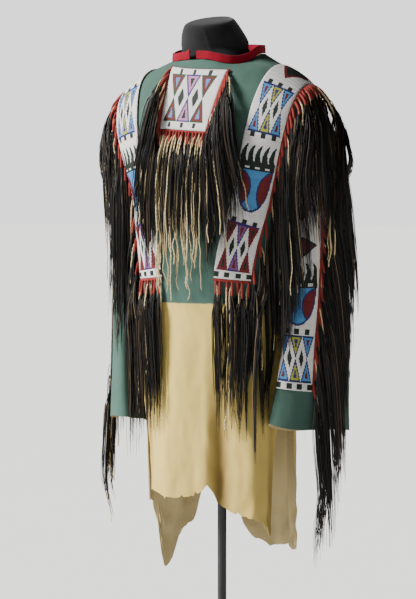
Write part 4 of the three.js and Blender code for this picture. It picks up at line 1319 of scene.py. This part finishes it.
def lock_tree():
    """Turns chains of points into hair, wool-wrapped tops and twisted hide thongs."""
    tree = Tree(bpy.data.node_groups.new("locks_on_routes", "GeometryNodeTree"))
    face = tree.nodes.interface
    face.new_socket("Geometry", in_out="INPUT", socket_type="NodeSocketGeometry")
    for name, default in (("Hair Width", 0.001), ("Wrap Width", 0.0052), ("Wrap Turn", 0.0018),
                          ("Thong Width", 0.0028), ("Thong Twist", 0.016)):
        face.new_socket(name, in_out="INPUT", socket_type="NodeSocketFloat").default_value = default
    for name in ("Hair Finish", "Wrap Finish", "Thong Finish"):
        face.new_socket(name, in_out="INPUT", socket_type="NodeSocketMaterial")
    face.new_socket("Geometry", in_out="OUTPUT", socket_type="NodeSocketGeometry")
    given = {s.name: Value(tree, s) for s in tree.nodes.nodes.new("NodeGroupInput").outputs if s.name}

    def named(name):
        return tree.add("GeometryNodeInputNamedAttribute", {"data_type": "FLOAT"}, {"Name": name})

    def only(kind):
        near = tree.add("ShaderNodeMath", {"operation": "COMPARE"}, {0: named("kind"), 1: kind, 2: 0.25})
        return tree.add("GeometryNodeSeparateGeometry", {"domain": "POINT"}, {0: given["Geometry"], 1: near})

    def routes(kind):
        return tree.add("GeometryNodeMeshToCurve", None, {0: only(kind)})

    def tube(curve, profile, scale, material):
        sockets = {"Curve": curve, "Profile Curve": profile, "Scale": scale, "Fill Caps": True}
        mesh = tree.add("GeometryNodeCurveToMesh", None, sockets)
        return tree.add("GeometryNodeSetMaterial", None, {"Geometry": mesh, "Material": material})

    def circle(sides):
        return tree.add(
            "GeometryNodeCurvePrimitiveCircle", {"mode": "RADIUS"}, {"Resolution": sides, "Radius": 0.5})

    hair = tube(routes(HAIR), circle(3), named("thick") * given["Hair Width"], given["Hair Finish"])
    close = {"Curve": routes(WRAP), "Length": given["Wrap Turn"] * 0.6}
    bound = tree.add("GeometryNodeResampleCurve", {"mode": "LENGTH"}, close)
    run = tree.add("GeometryNodeSplineParameter", output=1)
    turns = (run / given["Wrap Turn"] * (2 * math.pi)).sine() * 0.09 + 1.0
    wrap = tube(bound, circle(7), named("thick") * given["Wrap Width"] * turns, given["Wrap Finish"])
    fine = {"Curve": routes(THONG), "Length": given["Thong Twist"] * 0.25}
    laid = tree.add("GeometryNodeResampleCurve", {"mode": "LENGTH"}, fine)
    twist = tree.add("GeometryNodeSplineParameter", output=1) / given["Thong Twist"] * (2 * math.pi)
    laid = tree.add("GeometryNodeSetCurveTilt", None, {"Curve": laid, "Tilt": twist})
    flat = tree.add(
        "GeometryNodeCurvePrimitiveQuadrilateral", {"mode": "RECTANGLE"}, {"Width": 1.0, "Height": 0.5})
    thong = tube(laid, flat, named("thick") * given["Thong Width"], given["Thong Finish"])
    joined = tree.add("GeometryNodeJoinGeometry", None, {0: [hair, wrap, thong]})
    smooth = tree.add("GeometryNodeSetShadeSmooth", None, {"Geometry": joined, "Shade Smooth": True})
    whole = tree.add("GeometryNodeRealizeInstances", None, {"Geometry": smooth})
    tree.add("NodeGroupOutput", None, {0: whole}, None)
    return tree.nodes


def grown(name, mesh, group, values):
    """The plain mesh that a Geometry Nodes group makes of a mesh, with its named inputs set."""
    carrier = bpy.data.objects.new(name + "_routes", mesh)
    bpy.context.scene.collection.objects.link(carrier)
    modifier = carrier.modifiers.new("made", "NODES")
    modifier.node_group = group
    for item in group.interface.items_tree:
        if item.item_type == "SOCKET" and item.in_out == "INPUT" and item.name in values:
            modifier[item.identifier] = values[item.name]
    bpy.context.view_layer.update()
    depsgraph = bpy.context.evaluated_depsgraph_get()
    made = bpy.data.meshes.new_from_object(carrier.evaluated_get(depsgraph))
    carrier.modifiers.remove(modifier)
    bpy.data.objects.remove(carrier)
    made.name = name
    return made


def flap_edge(side):
    def edge(share, out, distance):
        half = FLAP["top_half"] + (FLAP["bottom_half"] - FLAP["top_half"]) * share
        return flap_point(side * (1 + out / half), share, distance)

    return edge


def flap_end(share, out, distance):
    return flap_point(2 * share - 1, 1 + out / (FLAP["top"] - FLAP["bottom"]), distance)


def shoulder_edge(side):
    def edge(share, out, distance):
        return shoulder_point(SHOULDER["half"] + out, side * np.maximum(share, 0.01), distance)

    return edge


def shoulder_end(share, out, distance):
    return shoulder_point((2 * share - 1) * SHOULDER["half"], 1 + out / 900, distance)


def sleeve_edge(side):
    def edge(share, out, distance):
        return sleeve_strip_point(side, -SLEEVE_STRIP["half"] - out, share, distance)

    return edge


FRINGES = (
    ("flap_left_fringe", flap_edge(1), "flap_side", False),
    ("flap_right_fringe", flap_edge(-1), "flap_side", False),
    ("flap_end_fringe", flap_end, "flap_end", False),
    ("left_shoulder_front_fringe", shoulder_edge(1), "shoulder_front", False),
    ("left_shoulder_back_fringe", shoulder_edge(-1), "shoulder_back", False),
    ("left_shoulder_end_fringe", shoulder_end, "shoulder_end", False),
    ("left_sleeve_fringe", sleeve_edge("left"), "sleeve", False),
    ("right_shoulder_front_fringe", shoulder_edge(1), "shoulder_front", True),
    ("right_shoulder_back_fringe", shoulder_edge(-1), "shoulder_back", True),
    ("right_shoulder_end_fringe", shoulder_end, "shoulder_end", True),
    ("right_sleeve_fringe", sleeve_edge("right"), "right_sleeve", True),
)


def fringe_routes(skins, edge, kind, locks, random, mirror, hairs):
    strands = Strands()
    count = locks["count"]
    over_shoulder = kind in ("shoulder_front", "shoulder_back")
    for i in range(count):
        share = (i + 0.5 + random.uniform(-0.18, 0.18)) / count
        if over_shoulder:
            share **= CREST_CLOSER
        off = STRIP_CLEAR + BEADWORK / 2
        root = edge(np.array(share), EDGING["gap"] + EDGING["width"] / 2, off)
        beyond = edge(np.array(share), 2 * EDGING["width"], off) - root
        beyond[2] = 0
        reach = locks["aside"][0] + (locks["aside"][1] - locks["aside"][0]) * share
        if mirror and over_shoulder:
            reach *= MIRRORED_REACH
        fall = locks["fall"] * (1 - 0.12 * abs(math.sin(2.4 * i + 1)))
        clear = locks["clear"] + 5.0 * (i % 2) + random.uniform(-1.5, 2.5)
        points, outs = lock_route(skins, root, unit(beyond), reach, fall, clear)
        thong = 1 if (i * locks["thongs"]) % count < locks["thongs"] else 0
        if locks["thongs"] > count:
            thong = 2
        low, high = locks["hair"]
        short = CREST_HAIR if over_shoulder and share < CREST_SHARE else 1
        own = dict(locks, beyond=beyond, hair=(low * short, high * short))
        if mirror and over_shoulder:
            own["flare"] = MIRRORED_FLARE
        add_lock(strands, random, points, outs, own, hairs, thong)
    if mirror:
        strands.points = [[-x, y, z] for x, y, z in strands.points]
    return strands


def edging_points(edge, steps, mirror):
    """The narrow strip that a fringe's roots are sewn into, as two grids of points."""
    share = np.linspace(0, 1, steps)[:, None]
    across = np.linspace(0, 1, 5)[None, :]
    share, across = np.broadcast_arrays(share, across)
    out = EDGING["gap"] + across * EDGING["width"]
    crown = 1.1 * (1 - (2 * across - 1) ** 2) ** 0.5
    outer = edge(share, out, STRIP_CLEAR + BEADWORK - 1.1 + crown)
    inner = edge(share, out, np.full(out.shape, float(STRIP_CLEAR)))
    return (mirrored(outer), mirrored(inner)) if mirror else (outer, inner)


# ---------------------------------------------------------------------------------------------
# Stitches


def stitch_tree():
    """Lays short slanted stitches at even steps along chains of points."""
    tree = Tree(bpy.data.node_groups.new("stitches_on_seams", "GeometryNodeTree"))
    face = tree.nodes.interface
    face.new_socket("Geometry", in_out="INPUT", socket_type="NodeSocketGeometry")
    for name, default in (("Spacing", 0.006), ("Length", 0.004), ("Width", 0.001)):
        face.new_socket(name, in_out="INPUT", socket_type="NodeSocketFloat").default_value = default
    face.new_socket("Thread", in_out="INPUT", socket_type="NodeSocketMaterial")
    face.new_socket("Geometry", in_out="OUTPUT", socket_type="NodeSocketGeometry")
    given = {s.name: Value(tree, s) for s in tree.nodes.nodes.new("NodeGroupInput").outputs if s.name}
    curve = tree.add("GeometryNodeMeshToCurve", None, {0: given["Geometry"]})
    steps = tree.add(
        "GeometryNodeCurveToPoints", {"mode": "LENGTH"}, {"Curve": curve, "Length": given["Spacing"]})
    ball = tree.add("GeometryNodeMeshUVSphere", None, {"Segments": 6, "Rings": 4, "Radius": 0.5})
    size = tree.add("ShaderNodeCombineXYZ", None, {0: given["Width"], 1: given["Width"], 2: given["Length"]})
    stitch = tree.add("GeometryNodeTransform", None, {"Geometry": ball, "Scale": size})
    slant = tree.add("GeometryNodeTransform", None, {"Geometry": stitch, "Rotation": (0.0, 0.9, 0.0)})
    sockets = {"Points": steps, "Instance": slant, "Rotation": tree.second(steps, 3)}
    laid = tree.add("GeometryNodeInstanceOnPoints", None, sockets)
    dressed = tree.add("GeometryNodeSetMaterial", None, {"Geometry": laid, "Material": given["Thread"]})
    smooth = tree.add("GeometryNodeSetShadeSmooth", None, {"Geometry": dressed, "Shade Smooth": True})
    whole = tree.add("GeometryNodeRealizeInstances", None, {"Geometry": smooth})
    tree.add("NodeGroupOutput", None, {0: whole}, None)
    return tree.nodes


def seam_routes():
    """The side seams and the armhole seams, as chains of points."""
    strands = Strands()
    rings = np.linspace(ARMHOLE["bottom"] + 0.15, 11.3, 60)
    turn = np.linspace(0.0, 2 * np.pi, 90)
    for side in (1, -1):
        seam = on_body(np.full(rings.shape, 90.0), rings, WALL / 2 + 0.5)
        hole = on_sleeve(turn, np.full(turn.shape, 0.12), WALL / 2 + 0.5)
        for points in (seam, hole):
            strands.add(points * np.array([side, 1, 1]), HAIR, 0.5, 1.0)
    return strands


# ---------------------------------------------------------------------------------------------
# Settings


class WarShirtSizes(bpy.types.PropertyGroup):
    hairs: IntProperty(name="Hairs", description="Hair strands in each lock", default=36, min=4, max=60)
    hair_width: FloatProperty(
        name="Hair Width", description="Thickness of a strand", default=0.0015, subtype="DISTANCE")
    hair_spread: FloatProperty(
        name="Hair Spread", description="How far a lock opens, in millimetres", default=8.5, min=1, max=30)
    wrap_width: FloatProperty(
        name="Wrap Width", description="Thickness of a lock's wrapped top", default=0.0056,
        subtype="DISTANCE")
    wrap_turn: FloatProperty(
        name="Wrap Turn", description="Pitch of the yarn on a wrapped top", default=0.0019,
        subtype="DISTANCE")
    thong_width: FloatProperty(
        name="Thong Width", description="Width of a hide thong", default=0.0030, subtype="DISTANCE")
    thong_twist: FloatProperty(
        name="Thong Twist", description="Length of one turn of a thong", default=0.017, subtype="DISTANCE")
    stitch_spacing: FloatProperty(
        name="Stitch Spacing", description="Step between stitches", default=0.006, subtype="DISTANCE")
    stitch_length: FloatProperty(
        name="Stitch Length", description="Length of a stitch", default=0.0042, subtype="DISTANCE")
    stitch_width: FloatProperty(
        name="Stitch Width", description="Thickness of the thread", default=0.0011, subtype="DISTANCE")


def colour_property(name, text, value):
    return FloatVectorProperty(
        name=name, description=text, default=value, subtype="COLOR", size=3, min=0, max=1)


class WarShirtColours(bpy.types.PropertyGroup):
    green_paint: colour_property("Green Paint", "Earth paint on the upper part", (0.041, 0.080, 0.065))
    raw_hide: colour_property("Pale Hide", "Tanned hide in the light places", (0.46, 0.345, 0.096))
    # smoke streaks and spots on the hide and thongs, and, dimmed, the painted shade in the fold valleys
    smoked_hide_and_fold_shade: colour_property("Smoked Hide", "Tanned hide in the dark places", (0.29, 0.185, 0.055))
    flesh_side: colour_property("Flesh Side", "Inside of the hides", (0.40, 0.315, 0.155))
    red_wool: colour_property("Red Wool", "Trade cloth of the collar", (0.19, 0.004, 0.014))
    wrap_wool: colour_property("Wrap Wool", "Yarn on the tops of the locks", (0.20, 0.028, 0.024))
    hair: colour_property("Hair", "Horse hair of the locks", (0.004, 0.004, 0.004))
    thong: colour_property("Thong", "Hide thongs of the fringes", (0.46, 0.37, 0.20))
    sinew: colour_property("Sinew", "Thread of the seams", (0.50, 0.42, 0.26))
    form_cloth: colour_property("Form Cloth", "Stretch cloth over the form", (0.006, 0.006, 0.007))
    floor: colour_property("Floor", "Studio floor", (0.84, 0.84, 0.84))


class WarShirtStage(bpy.types.PropertyGroup):
    key_power: FloatProperty(name="Key", description="Strength of the key light", default=14.0, min=0)
    key_turn: FloatProperty(
        name="Key Azimuth", description="Direction the key comes from", default=math.radians(-53),
        subtype="ANGLE")
    key_height: FloatProperty(
        name="Key Elevation", description="Height of the key", default=math.radians(30), subtype="ANGLE")
    key_angle: FloatProperty(
        name="Key Size", description="Apparent width of the key", default=math.radians(18), subtype="ANGLE")
    sky_light: FloatProperty(name="Fill", description="Strength of the even light", default=0.05, min=0)
    sky_seen: FloatProperty(name="Backdrop", description="Brightness behind the part", default=1.66, min=0)


# ---------------------------------------------------------------------------------------------
# Operators

CAMERA = {
    "azimuth": math.radians(30), "elevation": math.radians(3), "distance": 4.2,
    "aim": (0.0, 0.0, 0.90885), "lens": 120.2, "sensor": 36.0, "shift": -0.0234,
}
FLOOR_REACH = 60000.0
FLAT = {}  # the flat size of each piece of cloth, filled in as it is made


class ShirtOperator:
    bl_options = {"REGISTER", "UNDO"}

    def execute(self, context):
        self.make(context.scene)
        return {"FINISHED"}


class WARSHIRT_OT_form(ShirtOperator, bpy.types.Operator):
    """Covers the dress form in black stretch cloth"""

    bl_idname = "warshirt.form"
    bl_label = "Dress Form"

    def make(self, scene):
        piece = new_piece("form_body", form_mesh(), "form_cloth", finish("form_knit"))
        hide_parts("dress_form")


class WARSHIRT_OT_stand(ShirtOperator, bpy.types.Operator):
    """Finishes the pole, its socket and the base plate in satin black"""

    bl_idname = "warshirt.stand"
    bl_label = "Stand"

    def make(self, scene):
        for node in ("pole", "pole_socket", "base_plate"):
            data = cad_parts[node].data
            data.materials.clear()
            data.materials.append(finish("black_steel"))


class WARSHIRT_OT_hides(ShirtOperator, bpy.types.Operator):
    """Hangs the front and back hides, painted above and bare below"""

    bl_idname = "warshirt.hides"
    bl_label = "Hides"

    def make(self, scene):
        _, FLAT["front_skin"] = make_hide("front_skin", "front_hide", True, 104, 11.0)
        _, FLAT["back_skin"] = make_hide("back_skin", "back_hide", False, 104, 23.0)


class WARSHIRT_OT_sleeves(ShirtOperator, bpy.types.Operator):
    """Hangs the two wide sleeves"""

    bl_idname = "warshirt.sleeves"
    bl_label = "Sleeves"

    def make(self, scene):
        _, FLAT["left_sleeve_skin"] = make_sleeve("left_sleeve_skin", "left_sleeve", False, 31.0)
        _, FLAT["right_sleeve_skin"] = make_sleeve("right_sleeve_skin", "right_sleeve", True, 47.0)


class WARSHIRT_OT_collar(ShirtOperator, bpy.types.Operator):
    """Sets the folded red wool band round the neck"""

    bl_idname = "warshirt.collar"
    bl_label = "Collar"

    def make(self, scene):
        mesh, FLAT["collar_band"] = make_collar()
        piece = new_piece("collar_band", mesh, "wool", finish("red_wool"))
        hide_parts("collar")


PANELS = (
    ("left_shoulder_beads", "left_shoulder_strip", lambda name: shoulder_panel(name, False)),
    ("right_shoulder_beads", "right_shoulder_strip", lambda name: shoulder_panel(name, True)),
    ("left_sleeve_beads", "left_sleeve_strip", lambda name: sleeve_panel(name, "left")),
    ("right_sleeve_beads", "right_sleeve_strip", lambda name: sleeve_panel(name, "right")),
    ("flap_beads", "neck_flap", flap_panel),
)


class WARSHIRT_OT_beadwork(ShirtOperator, bpy.types.Operator):
    """Works the beads of the strips and of the neck flap"""

    bl_idname = "warshirt.beadwork"
    bl_label = "Beadwork"

    def make(self, scene):
        for name, node, maker in PANELS:
            mesh, FLAT[name] = maker(name)
            piece = new_piece(name, mesh, "beads", finish("worked_beads"))
            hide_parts(node)


class WARSHIRT_OT_fringes(ShirtOperator, bpy.types.Operator):
    """Hangs the locks of hair and the thongs along the edges of the beadwork"""

    bl_idname = "warshirt.fringes"
    bl_label = "Fringes"

    def make(self, scene):
        sizes = scene.war_shirt_sizes
        group = lock_tree()
        skins = make_skins()
        inputs = {
            "Hair Width": sizes.hair_width, "Wrap Width": sizes.wrap_width, "Wrap Turn": sizes.wrap_turn,
            "Thong Width": sizes.thong_width, "Thong Twist": sizes.thong_twist,
            "Hair Finish": finish("horse_hair"), "Wrap Finish": finish("wrap_wool"),
            "Thong Finish": finish("hide_thong"),
        }
        for seed, (node, edge, kind, mirror) in enumerate(FRINGES):
            locks = dict(LOCKS[kind], spread=sizes.hair_spread)
            random = np.random.default_rng(100 + seed)
            routes = fringe_routes(skins, edge, kind, locks, random, mirror, sizes.hairs)
            name = node.replace("_fringe", "_locks")
            piece = new_piece(name, grown(name, routes.mesh(name + "_routes"), group, inputs), "hair")
            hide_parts(node)
            strip = name.replace("_locks", "_edging")
            band = wall_mesh(strip, *edging_points(edge, 90, mirror))
            new_piece(strip, band, "hair", finish("wrap_wool"))


class WARSHIRT_OT_stitching(ShirtOperator, bpy.types.Operator):
    """Sews the side seams and the armholes with sinew"""

    bl_idname = "warshirt.stitching"
    bl_label = "Stitching"

    def make(self, scene):
        sizes = scene.war_shirt_sizes
        inputs = {
            "Spacing": sizes.stitch_spacing, "Length": sizes.stitch_length, "Width": sizes.stitch_width,
            "Thread": finish("sinew"),
        }
        routes = seam_routes().mesh("seam_routes")
        new_piece("seam_stitches", grown("seam_stitches", routes, stitch_tree(), inputs), "hide")


class WARSHIRT_OT_cuts(ShirtOperator, bpy.types.Operator):
    """Does nothing: the flat size of each piece of cloth is filled in as the piece is made"""

    bl_idname = "warshirt.cuts"
    bl_label = "Cuts"

    def make(self, scene):
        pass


class WARSHIRT_OT_stage(ShirtOperator, bpy.types.Operator):
    """Lays the pale floor, lights the part and sets the camera"""

    bl_idname = "warshirt.stage"
    bl_label = "Stage"

    def make(self, scene):
        stage = scene.war_shirt_stage
        corners = np.array([(-1, -1, 0), (1, -1, 0), (1, 1, 0), (-1, 1, 0)]) * FLOOR_REACH
        mesh = bpy.data.meshes.new("floor")
        mesh.from_pydata((corners * MM).tolist(), [], [(0, 1, 2, 3)])
        mesh.materials.append(finish("studio_floor"))
        floor = bpy.data.objects.new("floor", mesh)
        scene.collection.objects.link(floor)
        add_key(scene, stage)
        add_sky(scene, stage)
        add_camera(scene)


def direction(azimuth, elevation):
    """From the part towards a place at an azimuth and elevation."""
    return Vector((
        math.sin(azimuth) * math.cos(elevation), -math.cos(azimuth) * math.cos(elevation), math.sin(elevation)
    ))


def add_key(scene, stage):
    light = bpy.data.lights.new("key", "SUN")
    light.energy = stage.key_power
    light.angle = stage.key_angle
    light.color = (1.0, 0.985, 0.96)
    key = bpy.data.objects.new("key", light)
    key.rotation_euler = direction(stage.key_turn, stage.key_height).to_track_quat("Z", "Y").to_euler()
    scene.collection.objects.link(key)


def add_sky(scene, stage):
    """Even light, with a brighter backdrop for what looks at it directly."""
    world = bpy.data.worlds.new("studio")
    world.use_nodes = True
    scene.world = world
    tree = Tree(world.node_tree)
    shader = world.node_tree.nodes["Background"].inputs
    seen = tree.add("ShaderNodeLightPath")
    tree.feed(shader["Strength"], seen * (stage.sky_seen - stage.sky_light) + stage.sky_light)
    shader["Color"].default_value = (1.0, 1.0, 1.0, 1.0)


def add_camera(scene):
    lens = bpy.data.cameras.new("camera")
    lens.lens, lens.sensor_width, lens.shift_x = CAMERA["lens"], CAMERA["sensor"], CAMERA["shift"]
    lens.clip_end = 500.0
    camera = bpy.data.objects.new("camera", lens)
    back = direction(CAMERA["azimuth"], CAMERA["elevation"])
    camera.location = Vector(CAMERA["aim"]) + back * CAMERA["distance"]
    camera.rotation_euler = back.to_track_quat("Z", "Y").to_euler()
    scene.collection.objects.link(camera)
    scene.camera = camera


OPERATORS = (
    WARSHIRT_OT_form, WARSHIRT_OT_stand, WARSHIRT_OT_hides, WARSHIRT_OT_sleeves, WARSHIRT_OT_collar,
    WARSHIRT_OT_beadwork, WARSHIRT_OT_fringes, WARSHIRT_OT_stitching, WARSHIRT_OT_cuts, WARSHIRT_OT_stage,
)
GROUPS = {
    "war_shirt_sizes": WarShirtSizes, "war_shirt_colours": WarShirtColours, "war_shirt_stage": WarShirtStage,
}


class VIEW3D_PT_war_shirt(bpy.types.Panel):
    bl_label = "War Shirt"
    bl_space_type = "VIEW_3D"
    bl_region_type = "UI"
    bl_category = "War Shirt"

    def draw(self, context):
        for key, group in GROUPS.items():
            box = self.layout.box()
            for name in group.__annotations__:
                box.prop(getattr(context.scene, key), name)
        for operator in OPERATORS:
            self.layout.operator(operator.bl_idname)


def register():
    for kind in (*GROUPS.values(), *OPERATORS, VIEW3D_PT_war_shirt):
        bpy.utils.register_class(kind)
    for key, group in GROUPS.items():
        setattr(bpy.types.Scene, key, PointerProperty(type=group))


def unregister():
    for key in GROUPS:
        delattr(bpy.types.Scene, key)
    for kind in (VIEW3D_PT_war_shirt, *reversed(OPERATORS), *reversed(tuple(GROUPS.values()))):
        bpy.utils.unregister_class(kind)


def main():
    register()
    for operator in OPERATORS:
        area, name = operator.bl_idname.split(".")
        getattr(getattr(bpy.ops, area), name)()
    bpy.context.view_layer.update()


if __name__ == "__main__":
    main()
